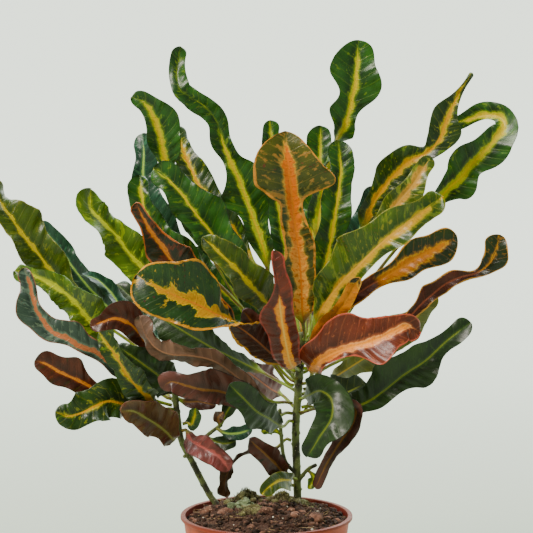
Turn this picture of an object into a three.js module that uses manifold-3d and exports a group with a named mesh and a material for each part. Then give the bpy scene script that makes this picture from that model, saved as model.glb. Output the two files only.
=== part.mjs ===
// Potted croton: a bushy plant of narrow, waved and twisted leaves in a plastic nursery pot.
// Units are millimetres, +Z is up, and the origin is the centre of the pot's underside.
import * as THREE from "three";
import { mergeVertices } from "three/addons/utils/BufferGeometryUtils.js";
import Module from "manifold-3d";

const wasm = await Module();
wasm.setup();

// Driving dimensions of the pot
const POT_HEIGHT = 115;
const RIM_RADIUS = 65;
const BASE_RADIUS = 47;
const POT_WALL = 1.4;
const POT_FLOOR = 1.8;
const LIP_WIDTH = 2.2;
const LIP_HEIGHT = 2.6;
const POT_SIDES = 40;
const DRAIN_HOLES = 6;
const DRAIN_RADIUS = 4.5;
const DRAIN_CIRCLE = 32;
const DRAIN_SIDES = 10;
const SOFT_EDGE = 0.7;

// Driving dimensions of the soil
const GAP = 0.3;
const SOIL_EDGE = 109;
const SOIL_CROWN = 121;
const SOIL_LUMP = 1.3;
const LUMP_ACROSS = 0.31;
const LUMP_DEEP = 0.27;
const LUMP_SLANTED = 0.17;
const SOIL_RINGS = 6;
const SOIL_SIDES = 32;
const ROOT_DEPTH = 28;

// Driving dimensions of stems, petioles and blades
const MAIN_RADIUS = 3.1;
const SIDE_RADIUS = 2.5;
const TWIG_RADIUS = 1.5;
const STEM_SIDES = 8;
const PETIOLE_HALF = 1.3;
const PETIOLE_THICK = 2.3;
const BLADE_THICK = 0.75;
const RIB_THICK = 1.7;
const TIP_HALF = 0.9;
const BLADE_FOLD = 12;
const BLADE_ONSET = 0.1;
const RIB_FADE = 0.5;
const PETIOLE_EDGE_THIN = 0.55;
const LOBE_SHARE = 0.14;
const OTHER_MARGIN_START = 0.43;
const BEND_SHARE = 0.8;
const BEND_REACH = 0.02;
const STEM_STEPS = 14;
const BUD_SHARE = 1.05;
const WELD = 1e-4;
const SLIVER = 0.01;
const SMALL_LEAF_DETAIL = 0.3;
const PETIOLE_STEP = 38;
const BLADE_STEP = 16;
const FEWEST_STEPS = 4;
const MOST_STEPS = 13;
const TIP_STEPS = [0.5, 0.15, 0];

// The plant is described as a viewer in front of it sees it: across, up, and how far behind
// the upright plane through the pot's axis a point lies.
const VIEW_DISTANCE = 1350;
const VIEW_HEIGHT = 434;
const viewer = new THREE.Vector3(0, -VIEW_DISTANCE, VIEW_HEIGHT);

function placed([across, up, behind]) {
  const onPlane = new THREE.Vector3(across, 0, up);
  return onPlane.sub(viewer).multiplyScalar(1 + behind / VIEW_DISTANCE).add(viewer);
}

const degrees = THREE.MathUtils.degToRad;

// Colours of the leaves, the stems, the pot and the soil
const COLOURS = {
  green: "#2f5a2a",
  dark: "#22402a",
  blue: "#2a4f45",
  lime: "#7f9428",
  olive: "#66722c",
  gold: "#dd9a22",
  orange: "#d9842e",
  salmon: "#a8584a",
  maroon: "#57302c",
  purple: "#3b2628",
  pink: "#80594c",
  rose: "#96504c",
  withered: "#6a4a3c",
  stem: "#57503a",
  pot: "#d9623f",
  soil: "#4a3728",
};

// The two stems, from below the soil to the tip
const STEMS = {
  main: {
    radius: MAIN_RADIUS,
    foot: [24, 30],
    route: [[23, 146, 29], [22, 178, 26], [24, 212, 19], [27, 254, 11]],
  },
  side: {
    radius: SIDE_RADIUS,
    foot: [-39, 36],
    route: [[-42, 128, 37], [-48, 139, 38], [-56, 155, 36], [-64, 171, 34], [-67, 190, 31],
      [-70, 218, 27]],
  },
};

// Each leaf: the stem that carries it, its seat there (height and compass angle, 0 to the right and
// 90 to the back), the midrib's route, how far the upper face turns from the viewer along it, the
// half-widths left and right of the midrib, and the waves of the margin (height, number, start).
const LEAVES = [
  // Left side, carried by the side stem
  {
    name: "leaf_far_left_olive", stem: "side", seat: [204, 140], colour: "olive", bare: 0.4,
    route: [[-95, 240, 58], [-130, 266, 56], [-151, 286, 48], [-169, 311, 42],
      [-182, 327, 38], [-192, 342, 36], [-200, 355, 38], [-201, 368, 42]],
    turn: [40, 30, -10, -15, 15, 50],
    left: [7, 9, 12, 13, 12, 12, 10, 7], right: [9, 12, 15, 16, 18, 20, 15, 9], wave: [3.6, 3.5, 0.1],
  },
  {
    name: "leaf_far_left_blue", stem: "side", seat: [210, 112], colour: "blue", bare: 0.45,
    route: [[-90, 250, 75], [-122, 276, 86], [-138, 294, 88], [-155, 317, 92], [-170, 336, 98]],
    turn: [20, 0, -20, 0],
    left: [9, 12, 12, 10, 8], right: [8, 10, 11, 10, 8], wave: [3, 2.5, 0.6],
  },
  {
    name: "leaf_left_lime", stem: "side", seat: [198, 172], colour: "lime", bare: 0.38,
    route: [[-96, 226, 42], [-118, 246, 34], [-130, 260, 28], [-140, 273, 24], [-151, 284, 22],
      [-164, 292, 22], [-176, 297, 24], [-188, 300, 28]],
    turn: [20, 10, -10, -25, -10],
    left: [9, 13, 13, 10, 8, 7], right: [10, 16, 17, 13, 9, 7], wave: [3.2, 3, 0.35],
  },
  {
    name: "leaf_left_arch_grey", stem: "side", seat: [200, 82], colour: "blue", bare: 0.35,
    route: [[-80, 245, 62], [-98, 262, 76], [-110, 274, 80], [-118, 285, 80], [-127, 293, 78],
      [-139, 297, 74]],
    turn: [30, 20, 30, 60],
    left: [6, 7, 7, 6], right: [6, 8, 8, 6], wave: [2, 2, 0.2],
  },
  {
    name: "leaf_left_long_twisted", stem: "side", seat: [193, 184], colour: "blue", bare: 0.24,
    route: [[-88, 204, 18], [-102, 217, 4], [-116, 230, -4], [-129, 239, -9],
      [-143, 245, -12], [-154, 251, -11], [-164, 257, -9], [-170, 266, -7],
      [-174, 276, -5], [-176, 286, -2], [-178, 295, 0], [-181, 302, 2]],
    turn: [0, 0, 0, 0],
    left: [5, 6, 6, 5, 5, 5, 8, 12, 14, 12, 7], right: [5, 6, 7, 9, 12, 14, 12, 7, 5, 4, 4],
    wave: [1.4, 5, 0.2],
  },
  {
    name: "leaf_left_brown_oval", stem: "side", seat: [185, 200], colour: "maroon", bare: 0.5,
    route: [[-97, 196, 12], [-116, 204, 2], [-130, 211, -4], [-142, 217, -8],
      [-154, 223, -12], [-165, 229, -15], [-174, 232, -17]],
    turn: [0, 0, 0, 0],
    left: [4, 8, 10, 10, 9], right: [4, 9, 14, 14, 10], wave: [0.9, 2.5, 0.25],
  },
  {
    name: "leaf_left_low_green", stem: "side", seat: [180, 172], colour: "dark", bare: 0.36,
    route: [[-86, 188, 20], [-101, 196, 4], [-111, 200, -6], [-121, 201, -12], [-130, 197, -18],
      [-140, 192, -22], [-150, 190, -26], [-159, 193, -28]],
    turn: [0, -10, 0, 10],
    left: [7, 12, 14, 13, 11, 10], right: [6, 14, 17, 15, 14, 11], wave: [3.2, 3, 0.5],
  },
  {
    name: "leaf_left_low_brown", stem: "side", seat: [169, 235], colour: "maroon", bare: 0.16,
    route: [[-70, 172, 14], [-78, 180, 0], [-90, 188, -14], [-101, 194, -24], [-110, 194, -28]],
    turn: [0, 0, 0, -10],
    left: [8, 9, 10, 12, 9], right: [9, 14, 17, 15, 10], wave: [2.2, 2.5, 0.7],
  },
  {
    name: "leaf_left_mid_green", stem: "side", seat: [190, 222], colour: "green", bare: 0.3,
    route: [[-79, 196, 2], [-91, 205, -18], [-102, 218, -32], [-110, 231, -38], [-118, 244, -40],
      [-125, 254, -40]],
    turn: [0, 0, -20, -30],
    left: [7, 9, 10, 8, 7], right: [8, 11, 12, 10, 7], wave: [2.6, 2.5, 0.15],
  },
  {
    name: "leaf_left_mid_dark", stem: "side", seat: [204, 248], colour: "dark", bare: 0.2,
    route: [[-70, 208, 8], [-78, 218, -6], [-88, 226, -13], [-99, 234, -17], [-112, 243, -19]],
    turn: [10, 0, 0, 10],
    left: [10, 13, 14, 12, 9], right: [10, 13, 14, 12, 8], wave: [3, 3, 0.4],
  },
  {
    name: "leaf_left_folded_tip", stem: "side", seat: [208, 206], colour: "maroon", bare: 0.3,
    route: [[-72, 223, 10], [-81, 236, 4], [-89, 245, -2], [-96, 254, -8], [-104, 261, -14],
      [-114, 264, -18], [-124, 261, -20], [-132, 258, -20]],
    turn: [0, 0, 0, 0],
    left: [6, 7, 8, 8, 10, 9, 6], right: [6, 7, 8, 11, 14, 12, 6], wave: [1.4, 2.5, 0.8],
  },

  // Left side, carried by the main stem
  {
    name: "leaf_left_pink_long", stem: "main", seat: [196, 190], colour: "pink", bare: 0.2,
    route: [[4, 201, 2], [-12, 210, -10], [-25, 222, -18], [-40, 232, -24], [-57, 236, -28],
      [-72, 237, -30], [-83, 242, -30], [-91, 253, -28], [-95, 266, -26]],
    turn: [170, 160, 175, 160, 140, 150],
    left: [6, 7, 7, 7, 8, 7], right: [6, 7, 7, 8, 9, 8], wave: [2.6, 4, 0.3],
  },
  {
    name: "leaf_left_purple_low", stem: "main", seat: [188, 205], colour: "purple", bare: 0.26,
    route: [[8, 190, 4], [-5, 194, -14], [-20, 202, -26], [-35, 209, -34], [-48, 210, -40],
      [-60, 213, -42], [-72, 216, -42], [-79, 211, -40]],
    turn: [10, 0, -10, 0],
    left: [7, 8, 9, 10, 8], right: [8, 13, 17, 15, 9], wave: [2.8, 3, 0.55],
  },
  {
    name: "leaf_left_gold", stem: "main", seat: [216, 242], colour: "gold", bare: 0.16,
    route: [[11, 231, -16], [1, 240, -34], [-9, 249, -50], [-19, 257, -62], [-29, 263, -70],
      [-38, 267, -76], [-51, 274, -80], [-70, 282, -84], [-87, 291, -84],
      [-97, 297, -80]],
    turn: [160, 165, 170, 170, 165, 140, 75, 15, 0, 0, -5],
    left: [8, 13, 14, 11, 9, 18, 22, 19], right: [8, 13, 14, 11, 11, 24, 27, 21],
    wave: [2.2, 3, 0.2],
  },
  {
    name: "leaf_left_orange_margin", stem: "main", seat: [210, 165], colour: "maroon", bare: 0.34,
    route: [[0, 236, 12], [-20, 254, 3], [-41, 278, -7], [-59, 297, -16], [-71, 308, -20],
      [-79, 320, -24], [-87, 331, -28], [-93, 342, -31], [-97, 351, -33]],
    turn: [0, 0, -10, -10],
    left: [6, 8, 9, 11, 14, 14, 9, 6], right: [6, 8, 10, 15, 17, 14, 8, 5], wave: [1.8, 4, 0.1],
  },
  {
    name: "leaf_left_high_lime", stem: "main", seat: [213, 140], colour: "lime", bare: 0.38,
    route: [[-8, 244, 24], [-40, 268, 22], [-72, 290, 18], [-97, 306, 12], [-112, 326, 8],
      [-124, 338, 4], [-132, 349, 4], [-131, 361, 8]],
    turn: [0, -10, -10, 20, 40],
    left: [9, 12, 15, 17, 15, 12], right: [8, 12, 15, 14, 12, 10], wave: [3.2, 3.5, 0.6],
  },
  {
    name: "leaf_left_back_dark", stem: "main", seat: [205, 120], colour: "dark", bare: 0.2,
    route: [[-12, 228, 56], [-44, 244, 78], [-74, 262, 92], [-96, 276, 102], [-112, 290, 110]],
    turn: [-20, -30, -20, 0],
    left: [9, 12, 14, 14, 12, 9], right: [9, 12, 14, 14, 12, 9], wave: [2.8, 3, 0.3],
  },
  {
    name: "leaf_upper_left_green", stem: "main", seat: [228, 158], colour: "green", bare: 0.44,
    route: [[-3, 244, 36], [-26, 285, 38], [-48, 323, 36], [-61, 349, 28], [-70, 369, 22],
      [-75, 382, 18], [-78, 397, 14], [-81, 408, 12], [-86, 419, 10],
      [-92, 426, 10], [-100, 429, 11]],
    turn: [0, -10, -10, 0, 0],
    left: [6, 7, 8, 8, 7, 5, 8, 10, 9, 6], right: [7, 8, 9, 9, 7, 5, 12, 18, 16, 9], wave: [2.2, 4, 0.2],
  },
  {
    name: "leaf_upper_left_blue", stem: "main", seat: [221, 138], colour: "blue", bare: 0.48,
    route: [[-6, 239, 56], [-33, 278, 66], [-59, 309, 66], [-75, 327, 62], [-85, 344, 62],
      [-91, 362, 66], [-91, 390, 70], [-92, 402, 74]],
    turn: [10, 10, 0, -20],
    left: [8, 10, 11, 10, 8], right: [8, 11, 14, 14, 11], wave: [2.8, 2.5, 0.5],
  },
  {
    name: "leaf_upper_left_lobed", stem: "main", seat: [219, 182], colour: "green", bare: 0.5,
    route: [[0, 250, 16], [-26, 280, 12], [-56, 308, 10], [-78, 326, 12], [-90, 344, 14],
      [-93, 358, 16], [-94, 371, 20]],
    turn: [20, 10, 0, -10],
    left: [7, 10, 9, 11, 9], right: [7, 11, 10, 9, 7], wave: [3.2, 2.5, 0.9],
  },
  {
    name: "leaf_upper_left_olive", stem: "main", seat: [240, 112], colour: "olive", bare: 0.4,
    route: [[8, 278, 46], [-12, 310, 64], [-34, 342, 76], [-50, 364, 84], [-58, 380, 90],
      [-64, 396, 96], [-68, 408, 102]],
    turn: [0, -10, 0, 20],
    left: [8, 10, 11, 10, 8], right: [8, 11, 12, 11, 8], wave: [2.6, 2.5, 0],
  },
  {
    name: "leaf_upper_left_dark", stem: "main", seat: [233, 186], colour: "dark", bare: 0.3,
    route: [[6, 256, 4], [-8, 280, -4], [-24, 304, -10], [-41, 328, -16], [-53, 343, -20],
      [-64, 358, -22], [-74, 369, -22], [-84, 376, -20]],
    turn: [10, 0, -10, 0, 10],
    left: [8, 11, 12, 13, 13, 11], right: [9, 13, 17, 20, 18, 11], wave: [3.2, 3.5, 0.4],
  },
  {
    name: "leaf_upper_left_slim", stem: "main", seat: [243, 205], colour: "olive", bare: 0.32,
    route: [[12, 262, -14], [0, 276, -30], [-12, 289, -42], [-24, 302, -48], [-36, 314, -50],
      [-48, 325, -50]],
    turn: [10, 0, 20, 30],
    left: [8, 12, 13, 12, 8], right: [9, 14, 16, 14, 9], wave: [2.8, 2.5, 0.7],
  },
  {
    name: "leaf_left_centre_green", stem: "main", seat: [228, 98], colour: "green", bare: 0.26,
    route: [[4, 252, 36], [-14, 268, 44], [-26, 279, 48], [-38, 290, 50], [-47, 302, 52],
      [-55, 317, 56]],
    turn: [0, 0, 10, 20],
    left: [6, 10, 13, 13, 9], right: [6, 10, 13, 13, 9], wave: [2.6, 2.5, 0.1],
  },

  // Upright leaves of the middle
  {
    name: "leaf_top_twisted_left", stem: "main", seat: [247, 165], colour: "green", bare: 0.24,
    route: [[13, 264, 22], [4, 289, 24], [-3, 319, 26], [-12, 345, 26], [-19, 365, 24],
      [-27, 382, 22], [-33, 397, 20], [-37, 411, 18], [-46, 422, 14],
      [-56, 429, 10], [-63, 434, 8], [-66, 444, 12], [-65, 456, 15],
      [-63, 466, 16]],
    turn: [20, 10, 0, 0, 0, 0],
    left: [7, 9, 10, 19, 11, 6, 8, 8, 8, 8, 7, 6], right: [7, 10, 13, 15, 19, 8, 8, 8, 8, 8, 7, 6],
    wave: [2.6, 5, 0.3],
  },
  {
    name: "leaf_top_back_tip", stem: "main", seat: [243, 95], colour: "green", bare: 0.35,
    route: [[20, 282, 46], [14, 318, 66], [8, 352, 80], [4, 384, 90], [3, 412, 96]],
    turn: [0, 0, 10, 0],
    left: [9, 11, 10, 9, 7], right: [9, 11, 10, 9, 7], wave: [2.6, 3, 0.5],
  },
  {
    name: "leaf_top_hooded", stem: "main", seat: [247, 285], colour: "orange", bare: 0.12,
    route: [[27, 264, -8], [26, 290, -18], [24, 314, -26], [21, 336, -34], [19, 354, -42],
      [17, 372, -50], [15, 388, -54], [14, 404, -52]],
    turn: [10, 5, 0, 0, 0],
    left: [7, 9, 11, 13, 13, 12, 11, 10, 9, 9, 19, 29, 25, 22],
    right: [7, 9, 11, 13, 13, 12, 11, 10, 9, 9, 20, 30, 25, 22],
    wave: [1.2, 3, 0.2], droop: 0.2,
  },
  {
    name: "leaf_top_round_tip", stem: "main", seat: [239, 65], colour: "green", bare: 0.3,
    route: [[30, 274, 40], [32, 306, 54], [36, 342, 66], [39, 372, 74], [40, 392, 78],
      [40, 408, 80]],
    turn: [0, 0, 0, 0],
    left: [8, 10, 10, 11, 10], right: [8, 10, 10, 11, 10], wave: [2.2, 3, 0.3],
  },
  {
    name: "leaf_top_right_green", stem: "main", seat: [244, 15], colour: "green", bare: 0.16,
    route: [[37, 268, 8], [42, 294, 6], [47, 318, 4], [51, 342, 4], [54, 364, 6], [55, 380, 10],
      [53, 397, 14]],
    turn: [10, 0, 0, 10, 20],
    left: [8, 10, 11, 12, 11, 9], right: [8, 9, 10, 11, 11, 9], wave: [2.6, 3.5, 0.6],
  },
  {
    name: "leaf_top_tallest", stem: "main", seat: [248, 50], colour: "green", bare: 0.34,
    route: [[33, 286, 32], [37, 322, 38], [41, 356, 40], [46, 384, 38], [51, 397, 36],
      [58, 409, 34], [63, 425, 32], [66, 441, 30], [67, 456, 30], [68, 471, 30]],
    turn: [0, 0, 0, 5, 20, 80, 15, 0, 0],
    left: [8, 9, 9, 9, 9, 8, 15, 12, 19, 17], right: [8, 9, 9, 9, 9, 9, 7, 15, 19, 15],
    wave: [2.4, 4, 0.5],
  },
  {
    name: "leaf_right_centre_sheen", stem: "main", seat: [231, 60], colour: "blue", bare: 0.3,
    route: [[36, 266, 32], [46, 298, 42], [57, 315, 50], [70, 332, 58], [77, 348, 64],
      [81, 362, 70]],
    turn: [0, -10, -10, 0],
    left: [8, 12, 14, 13, 8], right: [8, 9, 10, 9, 7], wave: [2.6, 2.5, 0.8],
  },

  // Right side
  {
    name: "leaf_right_olive_big", stem: "main", seat: [236, 335], colour: "olive", bare: 0.2,
    route: [[40, 268, -16], [55, 290, -30], [70, 305, -42], [85, 320, -50], [100, 332, -54],
      [115, 344, -54], [130, 356, -50]],
    turn: [0, 0, -5, 0, 10],
    left: [9, 16, 21, 22, 20, 15, 10], right: [6, 8, 9, 9, 8, 12, 9], wave: [3.2, 3.5, 0.3],
  },
  {
    name: "leaf_right_pointed", stem: "main", seat: [240, 25], colour: "orange", bare: 0.4,
    route: [[45, 261, 22], [62, 294, 26], [76, 342, 22], [87, 362, 16], [97, 373, 10],
      [107, 382, 6], [121, 389, 4], [129, 400, 2], [134, 414, 0], [142, 431, -2],
      [152, 447, -4]],
    turn: [0, 0, 0, 0],
    left: [7, 8, 9, 12, 15, 15, 5, 8, 13, 12, 5, 2], right: [7, 9, 9, 10, 10, 8, 6, 11, 13, 7, 4, 2],
    wave: [1.8, 4, 0.7],
  },
  {
    name: "leaf_right_peach", stem: "main", seat: [230, 355], colour: "olive", bare: 0.5,
    route: [[39, 254, 4], [52, 280, -3], [68, 312, -9], [85, 334, -13],
      [98, 351, -16], [108, 363, -18], [115, 374, -18], [122, 385, -16]],
    turn: [0, 0, 0, 0],
    left: [6, 8, 9, 9, 6], right: [6, 8, 11, 11, 7], wave: [1.8, 3, 0.4],
  },
  {
    name: "leaf_right_looped", stem: "main", seat: [220, 40], colour: "green", bare: 0.44,
    route: [[48, 248, 36], [74, 287, 44], [102, 323, 42], [117, 341, 38], [128, 353, 34],
      [136, 362, 30], [144, 369, 26], [152, 379, 22], [162, 389, 18],
      [170, 399, 15], [176, 407, 16], [173, 414, 20], [164, 416, 25],
      [154, 414, 30], [145, 411, 34], [136, 408, 38]],
    turn: [0, 0, 0, 0],
    left: [4, 5, 5, 8, 14, 15, 14, 12, 7, 4, 4, 5], right: [4, 5, 5, 10, 15, 11, 15, 14, 12, 11, 9, 6],
    wave: [1.6, 4, 0.1],
  },
  {
    name: "leaf_right_orange_paddle", stem: "main", seat: [224, 325], colour: "orange", bare: 0.24,
    route: [[37, 251, -8], [49, 265, -14], [62, 278, -18], [76, 288, -18], [88, 295, -18],
      [100, 302, -18], [111, 309, -20], [122, 315, -22], [132, 321, -25],
      [142, 326, -28]],
    turn: [0, 0, 0, 0],
    left: [4, 6, 6, 6, 6, 7, 10, 12, 13, 12], right: [4, 6, 6, 6, 6, 7, 10, 12, 14, 13],
    wave: [1.4, 3.5, 0.4],
  },
  {
    name: "leaf_right_ochre_small", stem: "main", seat: [228, 300], colour: "gold", bare: 0.3,
    route: [[36, 250, -22], [48, 263, -36], [59, 277, -46], [69, 295, -52]],
    turn: [20, 10, 10],
    left: [5, 6, 5], right: [5, 6, 5], wave: [1.4, 2, 0.2],
  },
  {
    name: "leaf_right_salmon", stem: "main", seat: [212, 320], colour: "salmon", bare: 0.18,
    route: [[38, 230, -26], [45, 235, -38], [54, 239, -45], [63, 242, -49], [75, 245, -52],
      [86, 249, -54], [96, 254, -54], [105, 258, -52], [115, 254, -48]],
    turn: [10, 10, 0, -10, -10],
    left: [6, 13, 18, 21, 22, 26, 17, 12, 10], right: [6, 7, 5, 5, 7, 10, 19, 14, 11],
    wave: [1.8, 3.5, 0.3],
  },
  {
    name: "leaf_right_twisted_brown", stem: "main", seat: [207, 5], colour: "maroon", bare: 0.42,
    route: [[39, 223, 16], [70, 239, 20], [90, 249, 20], [101, 258, 18], [108, 266, 16],
      [116, 275, 14], [124, 282, 12], [134, 290, 8], [145, 295, 4], [156, 298, 0],
      [163, 302, -2], [168, 308, -4], [171, 316, -6], [174, 327, -6]],
    turn: [0, 0, 0, 0],
    left: [3, 4, 5, 9, 8, 8, 6, 3, 4, 8, 9], right: [3, 4, 5, 5, 6, 5, 5, 3, 6, 11, 9],
    wave: [1.6, 5, 0.2],
  },
  {
    name: "leaf_right_low_green", stem: "main", seat: [193, 345], colour: "dark", bare: 0.2,
    route: [[46, 194, 4], [62, 196, -6], [76, 201, -14], [88, 209, -20], [104, 222, -24],
      [119, 232, -26], [136, 248, -26], [153, 261, -24]],
    turn: [-10, 0, 0, 10, 0],
    left: [8, 12, 16, 18, 16, 10, 8], right: [6, 8, 9, 12, 15, 8, 7], wave: [2.2, 3.5, 0.5],
  },
  {
    name: "leaf_right_hanging_purple", stem: "main", seat: [189, 315], colour: "purple", bare: 0.14,
    route: [[44, 198, -8], [58, 198, -22], [67, 195, -30], [66, 186, -33], [58, 173, -33],
      [49, 159, -32], [42, 146, -30], [37, 135, -27]],
    turn: [-20, 10, 20, 20, 10],
    left: [6, 7, 7, 6, 4], right: [6, 7, 8, 7, 4], wave: [1.8, 3, 0.1],
  },
  {
    name: "leaf_front_hanging_green", stem: "main", seat: [200, 295], colour: "dark", bare: 0.12,
    route: [[32, 206, -8], [41, 209, -24], [49, 202, -36], [49, 189, -43], [40, 174, -44],
      [31, 159, -40]],
    turn: [0, 0, 0, 0],
    left: [7, 12, 15, 14, 9], right: [7, 11, 14, 14, 8], wave: [2.4, 2.5, 0.4],
  },

  // Front and centre
  {
    name: "leaf_front_red_orange", stem: "main", seat: [223, 262], colour: "orange", bare: 0.14,
    route: [[18, 230, -26], [15, 243, -46], [12, 259, -62], [10, 274, -74], [9, 288, -81],
      [6, 302, -84], [5, 315, -84]],
    turn: [0, 0, 0, 10],
    left: [6, 9, 12, 14, 15, 6, 2], right: [6, 9, 11, 9, 10, 11, 7], wave: [1.2, 2.5, 0.3],
  },
  {
    name: "leaf_centre_purple", stem: "main", seat: [229, 220], colour: "purple", bare: 0.3,
    route: [[12, 238, -10], [2, 248, -26], [-8, 258, -36], [-18, 270, -42]],
    turn: [0, 0, 10],
    left: [7, 10, 7], right: [7, 10, 8], wave: [1.6, 2, 0.3],
  },
  {
    name: "leaf_front_dark_low", stem: "main", seat: [182, 230], colour: "dark", bare: 0.3,
    route: [[12, 182, -6], [2, 188, -30], [-8, 194, -46], [-18, 204, -56], [-28, 214, -60]],
    turn: [10, 0, 10],
    left: [8, 11, 12, 10], right: [8, 11, 12, 10], wave: [2.2, 2.5, 0.6],
  },
  {
    name: "leaf_base_purple", stem: "main", seat: [136, 262], colour: "purple", bare: 0.2,
    route: [[15, 145, 14], [6, 154, 2], [-3, 163, -6], [-13, 172, -10]],
    turn: [0, 0, 0],
    left: [6, 9, 9, 7], right: [6, 9, 9, 7], wave: [1.8, 2, 0.3],
  },
  {
    name: "leaf_base_yellow", stem: "main", seat: [131, 232], colour: "olive", bare: 0.15,
    route: [[17, 141, 2], [9, 140, -9], [2, 136, -16], [-4, 130, -20]],
    turn: [0, 0, 0],
    left: [6, 8, 6], right: [5, 7, 6], wave: [1.2, 2, 0.2],
  },
  {
    name: "leaf_base_withered", stem: "main", seat: [166, 165], colour: "withered", bare: 0.3,
    route: [[8, 166, 24], [-6, 163, 18], [-19, 160, 14], [-28, 150, 14], [-32, 138, 16],
      [-31, 128, 20]],
    turn: [20, 30, 120, 160],
    left: [4, 7, 6, 5], right: [4, 7, 6, 5], wave: [2, 3, 0.4],
  },
  {
    name: "leaf_side_stem_rose", stem: "side", seat: [173, 320], colour: "rose", bare: 0.1,
    route: [[-56, 171, 18], [-46, 165, 6], [-36, 159, 0], [-28, 148, -4]],
    turn: [0, 0, 10],
    left: [7, 9, 7], right: [8, 11, 8], wave: [1.8, 2, 0.1],
  },
  {
    name: "leaf_side_stem_green", stem: "side", seat: [178, 5], colour: "green", bare: 0.15,
    route: [[-56, 184, 24], [-53, 196, 20]],
    turn: [0, 0, 0],
    left: [4, 6, 5], right: [4, 6, 5], wave: [0.8, 2, 0.1],
  },

  // Back of the plant
  {
    name: "leaf_back_green", stem: "main", seat: [199, 85], colour: "green", bare: 0.25,
    route: [[22, 214, 46], [18, 232, 74], [12, 252, 100], [4, 272, 122], [-6, 288, 138]],
    turn: [180, 180, 170],
    left: [9, 13, 15, 14, 10], right: [9, 13, 15, 14, 10], wave: [3, 3, 0.2],
  },
  {
    name: "leaf_back_gold", stem: "main", seat: [211, 92], colour: "gold", bare: 0.22,
    route: [[24, 232, 42], [34, 254, 66], [42, 280, 86], [48, 304, 100], [50, 326, 108]],
    turn: [170, 175, 190],
    left: [9, 14, 16, 15, 10], right: [9, 14, 16, 15, 10], wave: [3, 3, 0.5],
  },
  {
    name: "leaf_back_right_olive", stem: "main", seat: [202, 50], colour: "olive", bare: 0.24,
    route: [[42, 214, 46], [64, 228, 66], [88, 244, 82], [110, 262, 92], [126, 282, 98]],
    turn: [190, 200, 190],
    left: [9, 14, 15, 14, 9], right: [9, 14, 15, 14, 9], wave: [3, 3, 0.7],
  },
  {
    name: "leaf_back_right_low", stem: "main", seat: [187, 40], colour: "dark", bare: 0.24,
    route: [[34, 202, 22], [46, 203, 30], [60, 208, 36], [75, 215, 42]],
    turn: [200, 200, 190],
    left: [9, 14, 15, 10], right: [9, 14, 15, 10], wave: [2.4, 2.5, 0.3],
  },
  {
    name: "leaf_back_left_maroon", stem: "main", seat: [192, 115], colour: "maroon", bare: 0.26,
    route: [[13, 205, 40], [3, 211, 60], [-9, 220, 80], [-20, 228, 98]],
    turn: [170, 160, 170],
    left: [9, 14, 15, 10], right: [9, 14, 15, 10], wave: [2.4, 2.5, 0.8],
  },
  {
    name: "leaf_back_left_purple", stem: "side", seat: [192, 100], colour: "purple", bare: 0.26,
    route: [[-74, 206, 56], [-84, 216, 80], [-98, 224, 102], [-112, 228, 120]],
    turn: [170, 165, 170],
    left: [8, 11, 12, 8], right: [8, 11, 12, 8], wave: [2.2, 2.5, 0.2],
  },
];

// Small leaves fused to the stems and twigs: their routes start inside what they grow from
const SHOOTS = {
  main: [
    {
      bare: 0.2, route: [[11, 176, 16], [4, 180, 12], [-4, 178, 9]],
      turn: [0, 0], left: [3, 5, 3], right: [3, 5, 3], wave: [0.6, 2, 0.2],
    },
    {
      bare: 0.2, route: [[31, 149, 24], [36, 143, 22], [32, 134, 18]],
      turn: [0, 0], left: [3, 5, 3], right: [3, 5, 3], wave: [0.5, 2, 0.3],
    },
  ],
  side: [
    {
      bare: 0.2, route: [[-70, 205, 30], [-61, 201, 29], [-50, 201, 26], [-38, 198, 24]],
      turn: [0, 10], left: [5, 7, 5], right: [5, 7, 5], wave: [1, 2, 0.3],
    },
    {
      bare: 0.2, route: [[-35, 182, 22], [-30, 193, 18], [-25, 200, 16], [-18, 203, 14]],
      turn: [0, 10], left: [4, 6, 4], right: [4, 6, 4], wave: [1, 2, 0.1],
    },
    {
      bare: 0.2, route: [[-35, 182, 22], [-36, 189, 14], [-33, 193, 8]],
      turn: [0, 0], left: [3, 5, 4], right: [3, 5, 4], wave: [0.6, 2, 0.5],
    },
    {
      bare: 0.2, route: [[-38, 181, 23], [-31, 177, 16], [-21, 177, 10], [-11, 180, 6]],
      turn: [0, 0], left: [4, 6, 5], right: [4, 6, 5], wave: [0.8, 2, 0.2],
    },
    {
      bare: 0.2, route: [[-46, 175, 27], [-40, 171, 22], [-31, 169, 18], [-23, 171, 16]],
      turn: [0, 10], left: [4, 7, 5], right: [4, 6, 5], wave: [1, 2, 0.6],
    },
  ],
};

// A smooth value along a list of evenly spaced ones
function along(values, t) {
  const points = values.map((value, i) => new THREE.Vector2(i / (values.length - 1), value));
  return new THREE.SplineCurve(points).getPoint(THREE.MathUtils.clamp(t, 0, 1)).y;
}

// A closed curve-following stem: straight down into the soil, then along its route
function stemCurve({ foot, route }) {
  const [x, y] = foot;
  const surface = soilHeight(x, y);
  const below = [surface - ROOT_DEPTH, surface - ROOT_DEPTH / 2, surface + 1];
  const points = below.map((z) => new THREE.Vector3(x, y, z)).concat(route.map(placed));
  return new THREE.CatmullRomCurve3(points, false, "centripetal");
}

function soilHeight(x, y) {
  const inward = 1 - (x * x + y * y) / (RIM_RADIUS * RIM_RADIUS);
  return SOIL_EDGE + (SOIL_CROWN - SOIL_EDGE) * Math.max(0, inward);
}

// The point of a stem's axis at a given height
function axisAt(curve, height) {
  let low = 0;
  let high = 1;
  const halvings = 30;
  for (let i = 0; i < halvings; i++) {
    const middle = (low + high) / 2;
    if (curve.getPoint(middle).z < height) low = middle;
    else high = middle;
  }
  return curve.getPoint(low);
}

const stemCurves = Object.fromEntries(
  Object.entries(STEMS).map(([name, stem]) => [name, stemCurve(stem)]),
);

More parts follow.
